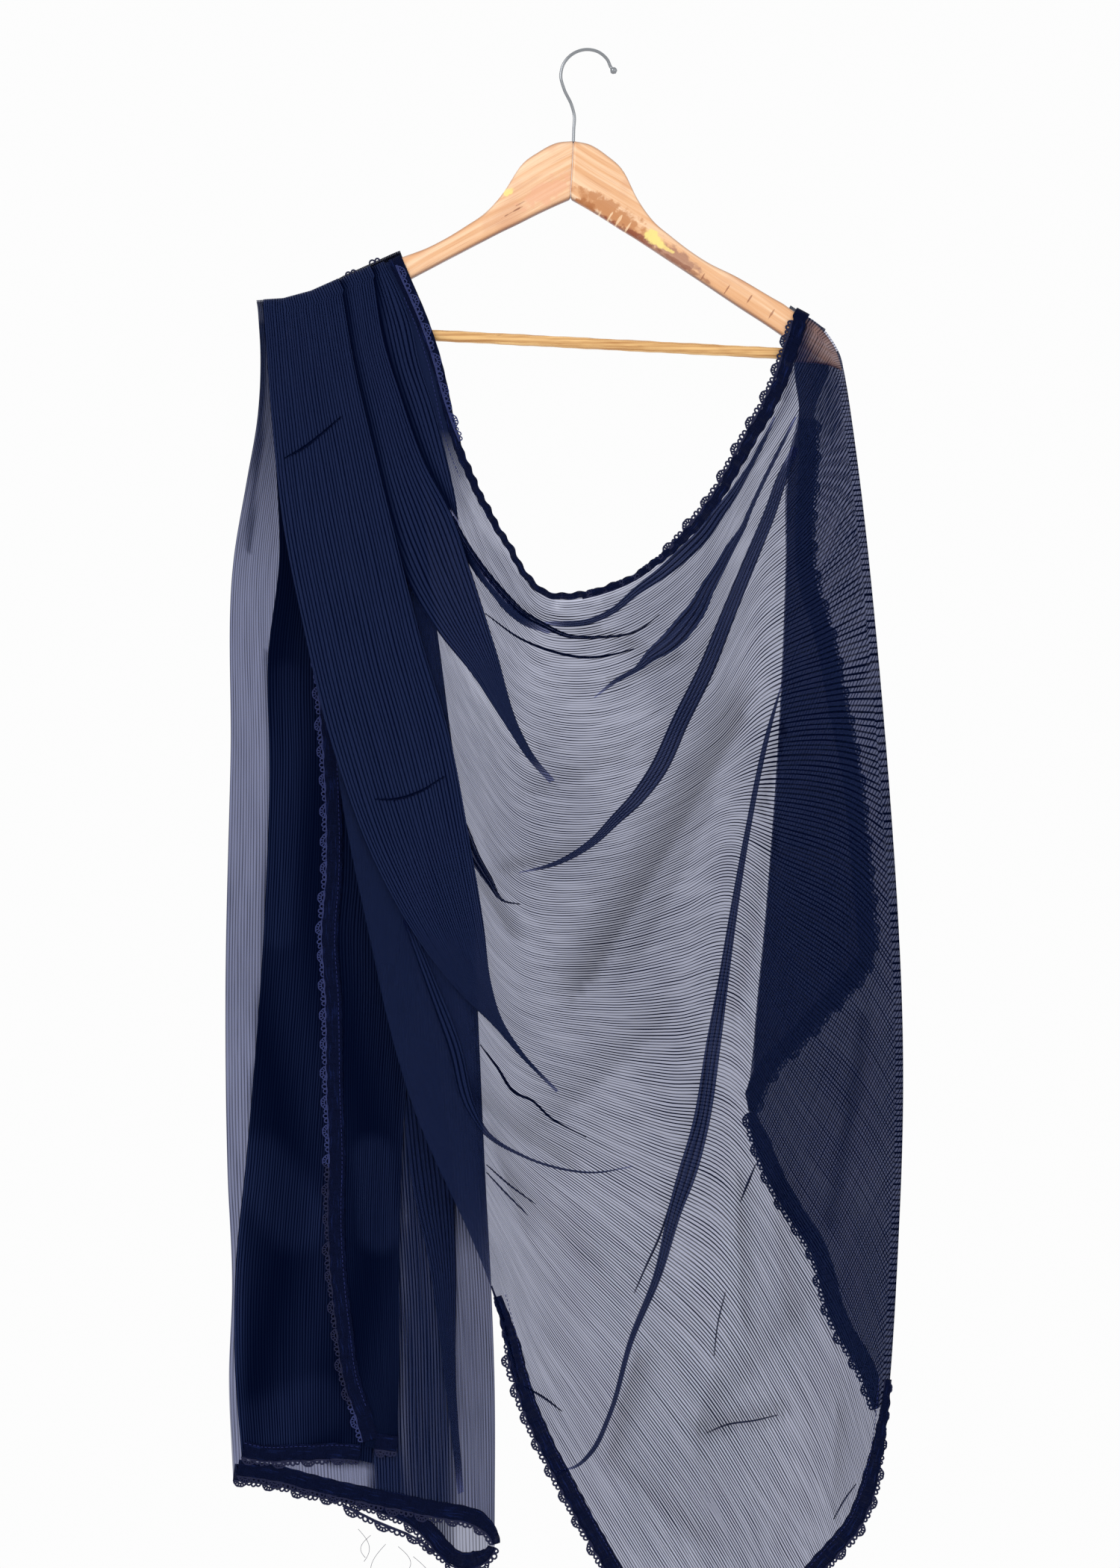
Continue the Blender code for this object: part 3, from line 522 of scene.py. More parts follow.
finish = {
    "chiffon": "#09193e",
    # the colour of bunched lines, and of painted shade on the chiffon
    "chiffonBunchedAndShaded": "#02061a",
    "chiffonSheen": "#4458a8",
    "seenThrough": "#e8ebff",         # what a white wall looks like between the yarns
    # how much of what is behind the yarns hide, and how much more their bunched lines do
    "oneLayer": (0.54, 0.45),
    "fallLayer": (0.45, 0.2),
    "foldLayer": (0.68, 0.18),
    "laidLayers": (0.86, 0.1),
    "coverGather": 0.12,
    "hem": "#040a24",
    # the hem's painted sheen streaks
    "hemPaintedSheen": "#0f1a42",
    "lace": "#050a26",
    "laceLit": "#303b70",             # where the thread's shine faces the light
    "laceSheen": "#3a4ab0",
    "laceTwist": "#0c1440",
    "stitch": "#232e6c",
    "woodPale": "#f1cba6",
    "woodMid": "#dda676",
    "woodBlotch": "#d29a74",
    "woodDark": "#a8694a",
    "woodRimWearAndShade": "#6b3218",
    "filler": "#efd67e",
    "barPale": "#e4b878",
    "barDark": "#ab7030",
    "barKnot": "#7a4a20",
    "chrome": "#8d9094",
}


def makeChiffon(name, cover, lineStrength):
    # polyester chiffon, crepe yarns, washed to a crinkle: the eye sees through it, a little blue, with fine
    # dark lines along its length where the crinkles bunch the yarns
    made, tree = newMaterial(name)
    place = addNode(tree, "UVMap", uv_map="cloth")
    # darkening set on each point: where yarns bunch, and painted shade in creases, under a lying fold's edge
    # and deep among the falls
    bunchedAndShaded = addNode(tree, "Attribute", attribute_name="shadeBunchingAndWear").outputs["Fac"]
    dense = addNode(tree, "Attribute", attribute_name="dense").outputs["Fac"]
    drawn = addNode(tree, "VectorMath", {0: place, 1: (0.05, 1.0, 0.0)}, operation="MULTIPLY")
    # the wave node's bands repeat every 2 pi / 20 of its scaled space
    waves = addNode(tree, "TexWave", {
        "Vector": drawn, "Scale": math.tau / 20 / (cloth["crinkle"] * mm), "Distortion": 3.2, "Detail": 2.0,
        "Detail Scale": 1.0, "Detail Roughness": 0.6}, wave_type="BANDS", bands_direction="Y").outputs["Fac"]
    crisp = addNode(tree, "MapRange", {"Value": waves, "From Min": 0.5, "From Max": 0.98},
                    interpolation_type="SMOOTHSTEP")
    patchPlace = addNode(tree, "VectorMath", {0: place, 1: (20.0, 170.0, 0.0)}, operation="MULTIPLY")
    patches = addNode(tree, "TexNoise", {"Vector": patchPlace, "Scale": 1.0, "Detail": 2.0},
                      noise_dimensions="2D")
    uneven = addNode(tree, "MapRange", {"Value": patches, "From Min": 0.3, "From Max": 0.7,
                                        "To Min": lineStrength * 0.65, "To Max": lineStrength * 1.35})
    strength = addNode(tree, "Math", {0: bunchedAndShaded, 1: 0.3, 2: uneven}, operation="MULTIPLY_ADD")
    cloudy = addNode(tree, "TexNoise", {"Vector": place, "Scale": 7.0, "Detail": 2.0}, noise_dimensions="2D")
    clouds = addNode(tree, "MapRange", {"Value": cloudy, "From Min": 0.3, "From Max": 0.7,
                                        "To Min": cover - 0.025, "To Max": cover + 0.025})
    lined = addNode(tree, "Math", {0: crisp, 1: strength, 2: clouds}, operation="MULTIPLY_ADD")
    bunched = addNode(tree, "Math", {0: bunchedAndShaded, 1: finish["coverGather"], 2: lined},
                      operation="MULTIPLY_ADD")
    hides = addNode(tree, "Math", {0: bunched, 1: dense}, operation="ADD", use_clamp=True)
    # the tint darkens and the gloss and sheen fade along the crinkle lines and, as painted shade, wherever
    # the darkening attribute is set
    shaded = addNode(tree, "Math", {0: crisp, 1: bunchedAndShaded}, operation="ADD", use_clamp=True)
    tint = addNode(tree, "Mix", {"Factor": shaded, "A": hexColour(finish["chiffon"]),
                                 "B": hexColour(finish["chiffonBunchedAndShaded"])}, data_type="RGBA")
    gloss = addNode(tree, "MapRange", {"Value": shaded, "To Min": 0.16, "To Max": 0.0})
    sheen = addNode(tree, "MapRange", {"Value": shaded, "To Min": 0.07, "To Max": 0.0})
    bump = addNode(tree, "Bump", {"Height": waves, "Strength": 0.35, "Distance": 0.0005})
    yarns = addNode(tree, "BsdfPrincipled", {
        "Base Color": tint, "Roughness": 0.75, "IOR": 1.5, "Specular IOR Level": gloss, "Sheen Weight": sheen,
        "Sheen Roughness": 0.45, "Sheen Tint": hexColour(finish["chiffonSheen"]), "Normal": bump})
    gaps = addNode(tree, "BsdfTransparent", {"Color": hexColour(finish["seenThrough"])})
    return closeMaterial(made, addNode(tree, "MixShader", {0: hides, 1: gaps, 2: yarns}))


def makeHem():
    # the same chiffon folded over twice and sewn: nearly opaque, with puckers square to the edge
    made, tree = newMaterial("foldedChiffonHem")
    place = addNode(tree, "UVMap", uv_map="cloth")
    drawn = addNode(tree, "VectorMath", {0: place, 1: (330.0, 60.0, 1.0)}, operation="MULTIPLY")
    pucker = addNode(tree, "TexNoise", {"Vector": drawn, "Scale": 1.0, "Detail": 2.0}, noise_dimensions="2D")
    runs = addNode(tree, "VectorMath", {0: place, 1: (60.0, 900.0, 1.0)}, operation="MULTIPLY")
    yarns = addNode(tree, "TexNoise", {"Vector": runs, "Scale": 1.0, "Detail": 2.0}, noise_dimensions="2D")
    # lighter streaks along the yarns are painted sheen
    glints = addNode(tree, "MapRange", {"Value": yarns, "From Min": 0.55, "From Max": 0.8},
                     interpolation_type="SMOOTHSTEP")
    tint = addNode(tree, "Mix", {"Factor": glints, "A": hexColour(finish["hem"]),
                                 "B": hexColour(finish["hemPaintedSheen"])}, data_type="RGBA")
    hides = addNode(tree, "MapRange", {"Value": pucker, "From Min": 0.3, "From Max": 0.7, "To Min": 0.86})
    bump = addNode(tree, "Bump", {"Height": pucker, "Strength": 0.8, "Distance": 0.0008})
    return closeMaterial(made, addNode(tree, "BsdfPrincipled", {
        "Base Color": tint, "Roughness": 0.75, "IOR": 1.5, "Specular IOR Level": 0.04, "Alpha": hides,
        "Normal": bump}))


def makeThread(name, colour):
    # mercerised polyester thread, twisted: dark, with a small blue shine along each loop
    made, tree = newMaterial(name)
    place = addNode(tree, "TexCoord").outputs["Object"]
    twist = addNode(tree, "TexNoise", {"Vector": place, "Scale": 1400.0, "Detail": 1.0})
    bump = addNode(tree, "Bump", {"Height": twist, "Strength": 0.4, "Distance": 0.0003})
    tint = addNode(tree, "Mix", {"Factor": twist, "A": hexColour(colour),
                                 "B": hexColour(finish["laceTwist"])}, data_type="RGBA")
    return closeMaterial(made, addNode(tree, "BsdfPrincipled", {
        "Base Color": tint, "Roughness": 0.5, "IOR": 1.55, "Specular IOR Level": 0.2, "Sheen Weight": 0.08,
        "Sheen Roughness": 0.4, "Sheen Tint": hexColour(finish["laceSheen"]), "Normal": bump}))


# one layer, the falls' straighter layers, a laid fold, and where several laid layers show as one
chiffon = makeChiffon("crinkledChiffon", *finish["oneLayer"])
chiffonFall = makeChiffon("crinkledChiffonFall", *finish["fallLayer"])
chiffonFold = makeChiffon("crinkledChiffonFold", *finish["foldLayer"])
chiffonLaid = makeChiffon("crinkledChiffonLaid", *finish["laidLayers"])
hemCloth = makeHem()
laceThread = makeThread("laceThread", finish["lace"])
laceThreadLit = makeThread("laceThreadLit", finish["laceLit"])
stitchThread = makeThread("stitchThread", finish["stitch"])


def makeWood(name, grainAngle, marks):
    # pale sawn wood, sanded and clear varnished, worn: streaky grain, narrow edges darkened by dirt and by
    # painted shade, and old filler
    made, tree = newMaterial(name)
    place = addNode(tree, "TexCoord").outputs["Object"]
    turned = addNode(tree, "Mapping", {"Vector": place, "Rotation": (0.0, grainAngle, 0.0)})
    bend = addNode(tree, "TexNoise", {"Vector": turned, "Scale": 9.0, "Detail": 1.0}).outputs["Color"]
    bent = addNode(tree, "VectorMath", {0: bend, 1: (0.0, 0.0, 0.012), 2: turned}, operation="MULTIPLY_ADD")
    ringWidth = 0.0042                # growth rings are about 4 mm apart
    long = addNode(tree, "VectorMath", {0: bent, 1: (6.0, 60.0, 1 / ringWidth)}, operation="MULTIPLY")
    rings = addNode(tree, "TexNoise", {"Vector": long, "Scale": 1.0, "Detail": 3.0})
    thin = addNode(tree, "VectorMath", {0: bent, 1: (30.0, 400.0, 1600.0)}, operation="MULTIPLY")
    pores = addNode(tree, "TexNoise", {"Vector": thin, "Scale": 1.0, "Detail": 2.0})
    blotch = addNode(tree, "TexNoise", {"Vector": place, "Scale": 26.0, "Detail": 2.0})
    ringShade = addNode(tree, "MapRange", {"Value": rings, "From Min": 0.32, "From Max": 0.72},
                        interpolation_type="SMOOTHSTEP")
    blotchShade = addNode(tree, "MapRange", {"Value": blotch, "From Min": 0.50, "From Max": 0.72,
                                             "To Max": 0.6}, interpolation_type="SMOOTHSTEP")
    poreShade = addNode(tree, "MapRange", {"Value": pores, "From Min": 0.55, "From Max": 0.8, "To Max": 0.45})
    # the arms' darkened narrow edges: rim wear, and painted shade most on the underside and at the seam
    rimWearAndShade = addNode(tree, "Attribute", attribute_name="shadeBunchingAndWear").outputs["Fac"]
    colour = hexColour(finish["woodPale"])
    for factor, shade in ((ringShade, "woodMid"), (blotchShade, "woodBlotch"), (poreShade, "woodDark"),
                          (rimWearAndShade, "woodRimWearAndShade")):
        colour = addNode(tree, "Mix", {"Factor": factor, "A": colour, "B": hexColour(finish[shade])},
                         data_type="RGBA")
    ragged = addNode(tree, "TexNoise", {"Vector": place, "Scale": 160.0, "Detail": 3.0})
    for x, z, sizeX, sizeZ, hexText, amount in marks:
        # a patch or scratch, as a ragged ellipse in line with the grain
        away = addNode(tree, "VectorMath", {0: place, 1: (x * mm, 0.0, z * mm)}, operation="SUBTRACT")
        inGrain = addNode(tree, "Mapping", {"Vector": away, "Rotation": (0.0, grainAngle, 0.0)})
        scaled = addNode(tree, "VectorMath", {0: inGrain, 1: (1 / (sizeX * mm), 0.0, 1 / (sizeZ * mm))},
                         operation="MULTIPLY")
        size = addNode(tree, "VectorMath", {0: scaled}, operation="LENGTH").outputs["Value"]
        rough = addNode(tree, "Math", {0: ragged, 1: 2.4, 2: size}, operation="MULTIPLY_ADD")
        inside = addNode(tree, "MapRange", {"Value": rough, "From Min": 2.3, "From Max": 1.9,
                                            "To Max": amount})
        colour = addNode(tree, "Mix", {"Factor": inside, "A": colour, "B": hexColour(hexText)},
                         data_type="RGBA")
    worn = addNode(tree, "MapRange", {"Value": blotch, "From Min": 0.3, "From Max": 0.7, "To Min": 0.3,
                                      "To Max": 0.55})
    bump = addNode(tree, "Bump", {"Height": pores, "Strength": 0.25, "Distance": 0.0004})
    return closeMaterial(made, addNode(tree, "BsdfPrincipled", {
        "Base Color": colour, "Roughness": worn, "IOR": 1.5, "Coat Weight": 0.25, "Coat Roughness": 0.3,
        "Normal": bump}))


# marks: across, height, half length and half width in millimetres, colour, amount
leftMarks = [(-62, -113, 5, 2.6, finish["filler"], 0.9), (-57, -128, 9, 0.8, "#7d4226", 0.8),
             (-52, -122, 5, 0.5, "#7d4226", 0.6), (-30, -112, 24, 8, "#e3a582", 0.6)]
rightMarks = [(20, -130, 34, 9, "#b97844", 0.85), (16, -137, 30, 4.4, "#8a3d14", 1.0),
              (42, -150, 18, 3.6, "#853b14", 0.95), (0, -124, 9, 5, "#a9662f", 0.9),
              (10, -131, 1.0, 5.5, "#f0cfa8", 0.8), (18, -134, 1.0, 6.5, "#f0cfa8", 0.8),
              (25, -137, 1.0, 6, "#eec9a0", 0.75), (33, -141, 1.0, 6, "#eec9a0", 0.8),
              (68, -163, 24, 7, "#9a6a58", 0.75),
              (55, -151, 9, 4.2, finish["filler"], 1.0), (53, -145, 5, 3, finish["filler"], 0.95),
              (64, -158, 6, 1.8, finish["filler"], 0.8), (78, -172, 26, 1.6, "#7c3f24", 0.6),
              (92, -181, 0.7, 4.5, "#8a4c2c", 0.7), (112, -190, 0.7, 4.5, "#8a4c2c", 0.75),
              (129, -199, 0.7, 4.5, "#8a4c2c", 0.75), (147, -210, 0.7, 4.5, "#8a4c2c", 0.7)]
leftWood = makeWood("varnishedWoodLeft", math.radians(29), leftMarks)
rightWood = makeWood("varnishedWoodRight", math.radians(-33), rightMarks)


def makeBarWood():
    # turned dowel, clear varnished: yellow, with long streaks, small knots and nicks
    made, tree = newMaterial("turnedDowelWood")
    place = addNode(tree, "TexCoord").outputs["Object"]
    long = addNode(tree, "VectorMath", {0: place, 1: (14.0, 500.0, 500.0)}, operation="MULTIPLY")
    streaks = addNode(tree, "TexNoise", {"Vector": long, "Scale": 1.0, "Detail": 3.0})
    knotPlace = addNode(tree, "VectorMath", {0: place, 1: (42.0, 90.0, 120.0)}, operation="MULTIPLY")
    knots = addNode(tree, "TexNoise", {"Vector": knotPlace, "Scale": 1.0, "Detail": 3.0})
    streakShade = addNode(tree, "MapRange", {"Value": streaks, "From Min": 0.35, "From Max": 0.7})
    knotShade = addNode(tree, "MapRange", {"Value": knots, "From Min": 0.62, "From Max": 0.74,
                                           "To Max": 0.8}, interpolation_type="SMOOTHSTEP")
    colour = hexColour(finish["barPale"])
    for factor, shade in ((streakShade, "barDark"), (knotShade, "barKnot")):
        colour = addNode(tree, "Mix", {"Factor": factor, "A": colour, "B": hexColour(finish[shade])},
                         data_type="RGBA")
    bump = addNode(tree, "Bump", {"Height": knots, "Strength": 0.5, "Distance": 0.0008})
    return closeMaterial(made, addNode(tree, "BsdfPrincipled", {
        "Base Color": colour, "Roughness": 0.38, "IOR": 1.5, "Coat Weight": 0.3, "Coat Roughness": 0.25,
        "Normal": bump}))


def makeChrome():
    # drawn steel wire, bright chromed: mirror-like, with faint draw lines
    made, tree = newMaterial("chromedWire")
    place = addNode(tree, "TexCoord").outputs["Object"]
    haze = addNode(tree, "TexNoise", {"Vector": place, "Scale": 300.0, "Detail": 2.0})
    rough = addNode(tree, "MapRange", {"Value": haze, "To Min": 0.1, "To Max": 0.22})
    return closeMaterial(made, addNode(tree, "BsdfPrincipled", {
        "Base Color": hexColour(finish["chrome"]), "Metallic": 1.0, "Roughness": rough}))


barWood = makeBarWood()
chromeWire = makeChrome()

print("hanger")


def tidyNormals(piece):
    # faces turned to point outward
    work = bmesh.new()
    work.from_mesh(piece.data)
    bmesh.ops.recalc_face_normals(work, faces=work.faces)
    work.to_mesh(piece.data)
    work.free()
    return piece


def ringPiece(name, rings, material, node, edgeWearAndShade=None, sharp=True):
    # a closed solid over rings of points
    rings = np.array(rings)
    faces = gridFaces(*rings.shape[:2], True) + list(endFaces(*rings.shape[:2]))
    made = makePiece(name, rings, faces, material, node, shadeBunchingAndWear=edgeWearAndShade)
    if sharp:
        made.data.set_sharp_from_angle(angle=math.radians(50))
    tidyNormals(made)


def armPiece(name, direction, node, material):
    rows = np.array(hanger["arm"], float)
    seam, chamfer = hanger["seamGap"], hanger["seamChamfer"]
    reach = np.concatenate([[seam, seam + chamfer], np.linspace(3, 172, 62), [174, 176.5, 179, 182, 186, 192],
                            [198, 203, 207, 211, 214, 216.5, 219, 221, 222.4]])
    top = smooth(rows[:, 1], rows[:, 0], reach)
    straight = rows[rows[:, 0] <= 174]
    bottom = np.where(reach <= 174, smooth(straight[:, 2], straight[:, 0], np.minimum(reach, 174)),
                      np.interp(reach, rows[:, 0], rows[:, 2]))
    half = np.interp(reach, rows[:, 0], rows[:, 3])
    arcs = [math.radians(a) for a in np.linspace(0, 90, 6)]
    rings, edgeWearAndShade = [], []
    for i, (r, t, b, h) in enumerate(zip(reach, top, bottom, half)):
        cut = 0 if i else chamfer
        h, t, b = h - cut, t - cut, b + cut
        radius = min(hanger["roundOver"], h * 0.95, (t - b) / 2 * 0.95)
        ring = []
        for sideways, upwards, backwards in ((1, 1, 0), (-1, 1, 1), (-1, -1, 0), (1, -1, 1)):
            for a in (arcs[::-1] if backwards else arcs):
                depth = sideways * (h - radius + radius * math.cos(a))
                edge = t - radius if upwards > 0 else b + radius
                ring.append(hangerPoint(direction * r, edge + upwards * radius * math.sin(a), depth))
                # top and bottom faces darkened, the underside most as painted shade; the seam's chamfered
                # ring darker as painted shade in the joint
                edgeWearAndShade.append((1.0 if upwards < 0 else 0.8) * math.sin(a) ** 2 + (0.3 if cut else 0.0))
        rings.append(ring)
    ringPiece(name, rings, material, node, edgeWearAndShade)


armPiece("armLeft", -1, "hanger_left_arm", leftWood)
armPiece("armRight", 1, "hanger_right_arm", rightWood)

rings = []
for reach in np.linspace(-hanger["barReach"], hanger["barReach"], 120):
    radius = hanger["barRadius"] + 0.12 * math.sin(reach * 0.13) + 0.1 * math.sin(reach * 0.37 + 1)
    rings.append([hangerPoint(reach, hanger["barHeight"] + radius * math.sin(a), radius * math.cos(a))
                  for a in np.linspace(0, math.tau, 20, endpoint=False)])
ringPiece("barDowel", rings, barWood, "hanger_bar")

route = smoothLine(hanger["hook"], 110)
ball, wire = hanger["ballRadius"], hanger["wireRadius"]
rings = []
for (x, z), (nx, nz), s in zip(route, squareTo(route), lengths(route)):
    inBall = max(0.0, 1 - ((s - ball) / ball) ** 2) if s < 2 * ball else 0.0
    radius = max(wire if s > ball else 0.12, ball * math.sqrt(inBall))
    rings.append([(x + nx * radius * math.cos(a), radius * math.sin(a), z + nz * radius * math.cos(a))
                  for a in np.linspace(0, math.tau, 14, endpoint=False)])
ringPiece("hookWire", rings, chromeWire, "hook", sharp=False)

print("front sheet")


def frontFlat(rowCount, columnCount):
    shares = np.linspace(0, 1, rowCount)
    table = smooth(np.swapaxes(np.array(frontSections, float), 0, 1), widthMarks, shares)
    table = np.concatenate([table, smooth(edgePoints, edgeShares, shares)[:, None, :]], axis=1)
    knots = summed(np.linalg.norm(np.diff(table, axis=1), axis=-1).mean(axis=0))
    flat = np.swapaxes(smooth(np.swapaxes(table, 0, 1), knots, np.linspace(0, knots[-1], columnCount)), 0, 1)
    flat[:, 0, 1] = np.interp(flat[:, 0, 0], leftCrown[:, 0], leftCrown[:, 1])
    return shares, flat


def gatherAndShadeField(flat):
    total = np.zeros(flat.shape[:-1])
    for x0, d0, x1, d1, amount, half in gathersAndShade:
        t, away = besideLine(flat, (x0, d0), (x1, d1))
        onLeft = (x1 - x0) * (flat[..., 1] - d0) - (d1 - d0) * (flat[..., 0] - x0) > 0
        total += amount * np.exp(-(away / np.where(onLeft, half, half * 0.22)) ** 2)
    return total


def denseField(flat, strips):
    # strips of more or fewer layers: the line along each, its amount and its half width
    return sum(amount * (1 - ramp(distanceTo(flat, line), half * 0.6, half * 1.4))
               for line, amount, half in strips)


def frontDense(flat):
    # the sheet lies double under the left shoulder's pleats, and over the falls
    x, drop = flat[..., 0], flat[..., 1]
    seam = trace(front[0], 60, 0.62, 1)
    seam -= squareTo(seam) * 12
    hemInner = 0.18 * (1 - ramp(distanceTo(flat, seam), 3.5, 5.5)) * ramp(x, 60, 100)
    shoulder = (x < -80) * (0.38 * (1 - ramp(drop, 280, 340)) + 0.2 * (1 - ramp(drop, 325, 385)))
    fallsEdge = np.interp(drop, [p[1] for p in fall["right"]], [p[0] for p in fall["right"]])
    overFalls = 0.3 * (1 - ramp(x - fallsEdge, -8, 1)) * ramp(drop, 430, 520)
    return shoulder + overFalls + hemInner + denseField(flat, frontStrips)


frontShares, front = frontFlat(131, 170)
startTurn = turn(front[:, 0], upward(front[:, 0]), -1, 0, True)
endTurn = turn(front[:, -1], squareTo(front[:, -1]), -1, 0, False, 1 - ramp(frontShares, *turnShare))[::-1]
body = tucked(np.swapaxes(front, 0, 1), True, True)
frontGrid = np.concatenate([startTurn, lay(body, -1, 0), endTurn])
frontGatherAndShade = np.zeros(frontGrid.shape[:2])
frontGatherAndShade[cloth["turnSteps"]:-cloth["turnSteps"]] = gatherAndShadeField(body)
frontGatherAndShade[-4:] += 0.3               # the yarns crowd where the sheet folds back
frontUv = gridUv(frontGrid)
frontUv[..., 1] = frontShares * cloth["width"]
sheetPiece("frontSheet", frontGrid, chiffon, "cowl", frontUv, frontGatherAndShade, frontDense(flatOf(frontGrid)))

for name, route in laidFolds.items():
    foldedPiece(name, ribbon(route, 24, cloth["rowStep"], 9, 0.4), -1, foldLayer, chiffonFold,
                foldNodes[name], False, 0.5, (22, 26))

pinchPoints, pinchFaces, pinchUv = [], [], []
pinchLayer = 0.7
for route, layer in ([(r, pinchLayer) for r in pinches]
                     + [(r, pleats["pleatA"]["layer"] + pinchLayer) for r in pleatPinches]):
    grid = foldedGrid(ribbon(route, 12, 3, 3, 0.3), -1, layer, 0.2)
    start = sum(len(p) for p in pinchPoints)
    pinchPoints.append(grid.reshape(-1, 3))
    pinchUv.append(gridUv(grid).reshape(-1, 2))
    pinchFaces += [tuple(start + i for i in face) for face in gridFaces(*grid.shape[:2], True)]
# each pinch is darkened all over: bunched yarns, and painted shade in the crease
makePiece("pinchedCreases", np.concatenate(pinchPoints), pinchFaces, chiffon, None,
          np.concatenate(pinchUv), np.full(sum(len(p) for p in pinchPoints), 0.7))

print("pleats")

# where pleat C parts into two bands, one layer shows between them
pleatThin = {"pleatC": ([(-108, 369), (-92, 396), (-76, 420), (-62, 436), (-52, 445)], 3.2)}
# each pleat gets a painted shadow along the edge of the pleat lying on it
pleatAbove = {"pleatB": pleats["pleatA"]["right"], "pleatC": pleats["pleatB"]["right"]}
for name, pleat in pleats.items():
    flat = onCrown(between(pleat["left"], pleat["right"], 150, pleat["columns"]))
    foldedPiece(name, flat, -1, pleat["layer"], chiffonLaid, pleat["node"], True, 1.0, (0, 30),
                pleatThin.get(name), pleatAbove.get(name))

print("back sheets")

backSheets = {
    "fallLacePanel": dict(
        left=[(-200, 189), (-208, 300), (-213, 400), (-213, 501), (-208, 570), (-207, 664), (-210, 700),
              (-207, 755), (-206, 823), (-204, 882), (-205, 928), (-203, 973), (-198, 1019), (-192, 1060),
              (-183, 1087), (-176, 1112)],
        right=[(-148, 165), (-140, 260), (-126, 400), (-123, 560), (-133, 720), (-146, 860), (-149, 970),
               (-149, 1040), (-151, 1115)],
        bottom=None, layer=0, node="fall_lace_panel", columns=16),
    "fallMiddle": dict(
        left=[(-254, 203), (-250, 294), (-247, 340), (-245, 400), (-254, 482), (-253, 573), (-257, 687),
              (-262, 765), (-272, 880), (-281, 969), (-282, 1040), (-277, 1113)],
        right=[(-160, 170.8), (-150, 260), (-140, 400), (-140, 560), (-150, 720), (-160, 860), (-166, 1000),
               (-171, 1125)],
        bottom=[(-275, 1119), (-262, 1122), (-225, 1122), (-184, 1122), (-171, 1125)],
        layer=1, node="fall_middle", columns=22),
    "fallInner": dict(
        left=fall["left"], right=fall["right"],
        bottom=[(-281, 1134), (-243, 1140), (-217, 1147), (-182, 1155), (-158, 1160), (-143, 1163),
                (-120, 1168), (-100, 1171), (-84, 1177), (-75, 1186), (-73, 1192)],
        layer=2, node="fall_inner", columns=40),
    "fallOuter": dict(
        left=fall["left"], right=fall["right"],
        bottom=[(-282, 1138), (-243, 1143.5), (-217, 1150.6), (-182, 1158.3), (-158.6, 1166), (-141, 1174),
                (-129, 1184), (-118, 1197), (-106, 1207), (-93, 1209), (-81, 1204), (-74, 1196), (-73, 1192)],
        layer=3, node="fall_outer", columns=40),
}
endFlap = dict(
    left=[(161, 204.6), (165, 240), (167, 262), (170, 284), (162, 330), (160, 411), (158, 470), (153, 567),
          (144, 688), (135, 786), (132, 848)],
    right=[(189, 223.6), (194, 250), (183, 283), (182, 327), (179, 372), (180, 411), (196, 470), (205, 519),
           (215, 567), (224, 650), (230, 722)],
    bottom=[(132, 848), (150, 810), (169, 791), (196, 762), (215, 742), (230, 722)])
fallFold = dict(
    left=[(-150, 780), (-138, 905), (-126, 962), (-112, 1064), (-102, 1150)],
    right=[(-122, 790), (-106, 905), (-104, 962), (-104, 1064), (-98, 1148)])
turnback = dict(
    fold=[(170, 232), (167, 254), (170, 280), (161, 324), (159, 411), (157, 470), (152, 567), (143, 688),
          (134, 786), (131, 851)],
    hem=[(131, 851), (139, 881), (163, 928), (177, 949), (198, 1013), (221, 1055), (233, 1090)],
    start=0.055, end=0.585, hemShare=(0.697, 0.99), inset=11.2, least=2.0,
    slant=0.88,                       # how fast the crinkle lines leave the fold, so they cross the front's
    crease=[(221, 770), (218, 803), (206, 872), (194, 933)])


def fallShade(flat):
    # how deep in the shade between other sheets the middle of the falls lies
    x = flat[..., 0]
    shade = 0.75 * ramp(x, -282, -268) * (1 - ramp(x, -150, -138)) + denseField(flat, fallGlows)
    return np.clip(shade + 0.15 * np.sin(x * 0.09 + 2 * np.sin(flat[..., 1] * 0.012)), 0, 1)


def fallDense(flat, least):
    # the falls crowd together behind the pleats and open to thin layers at both sides
    x, drop = flat[..., 0], flat[..., 1]
    behind = ramp(x, -215, -203)
    belowPanel = ramp(drop, 1122, 1130) * (1 - ramp(x, -174, -168))
    dark = 0.45 * behind * (1 - ramp(x, -150, -142)) * (1 - belowPanel)
    beside = 0.38 * ramp(x, -150, -142) * (1 - ramp(x, -112, -100)) + 0.1 * ramp(x, -112, -100)
    upper = 0.42 * behind * (1 - ramp(drop, 880, 1000))
    topLeft = 0.3 * (1 - ramp(drop, 215, 440)) * (1 - ramp(x, -250, -235))
    dense = np.maximum(np.maximum(dark, upper), beside) + topLeft + denseField(flat, fallStrips)
    return np.maximum(dense, least)


backFlat = {}
for name, sheet in backSheets.items():
    flat = onCrown(between(sheet["left"], sheet["right"], 190, sheet["columns"], sheet["bottom"]))
    backFlat[name] = flat
    grid = hangGrid(flat, 1, sheet["layer"])
    isMiddle = name == "fallMiddle"
    shade = fallShade(flatOf(grid)) if isMiddle or name == "fallLacePanel" else None
    sheetPiece(name, grid, chiffonLaid if isMiddle else chiffonFall, sheet["node"], None, shade,
               fallDense(flatOf(grid), 0.12 if isMiddle else -1.0))
flapFlat = between(endFlap["left"], endFlap["right"], 130, 14, endFlap["bottom"])
sheetPiece("rightEndFlap", hangGrid(flapFlat, 1, 1), chiffonLaid, "right_end_flap")
foldedPiece("fallFold", between(fallFold["left"], fallFold["right"], 60, 6), 1, 1, chiffonFold, "fall_fold",
            fade=(40, 30))

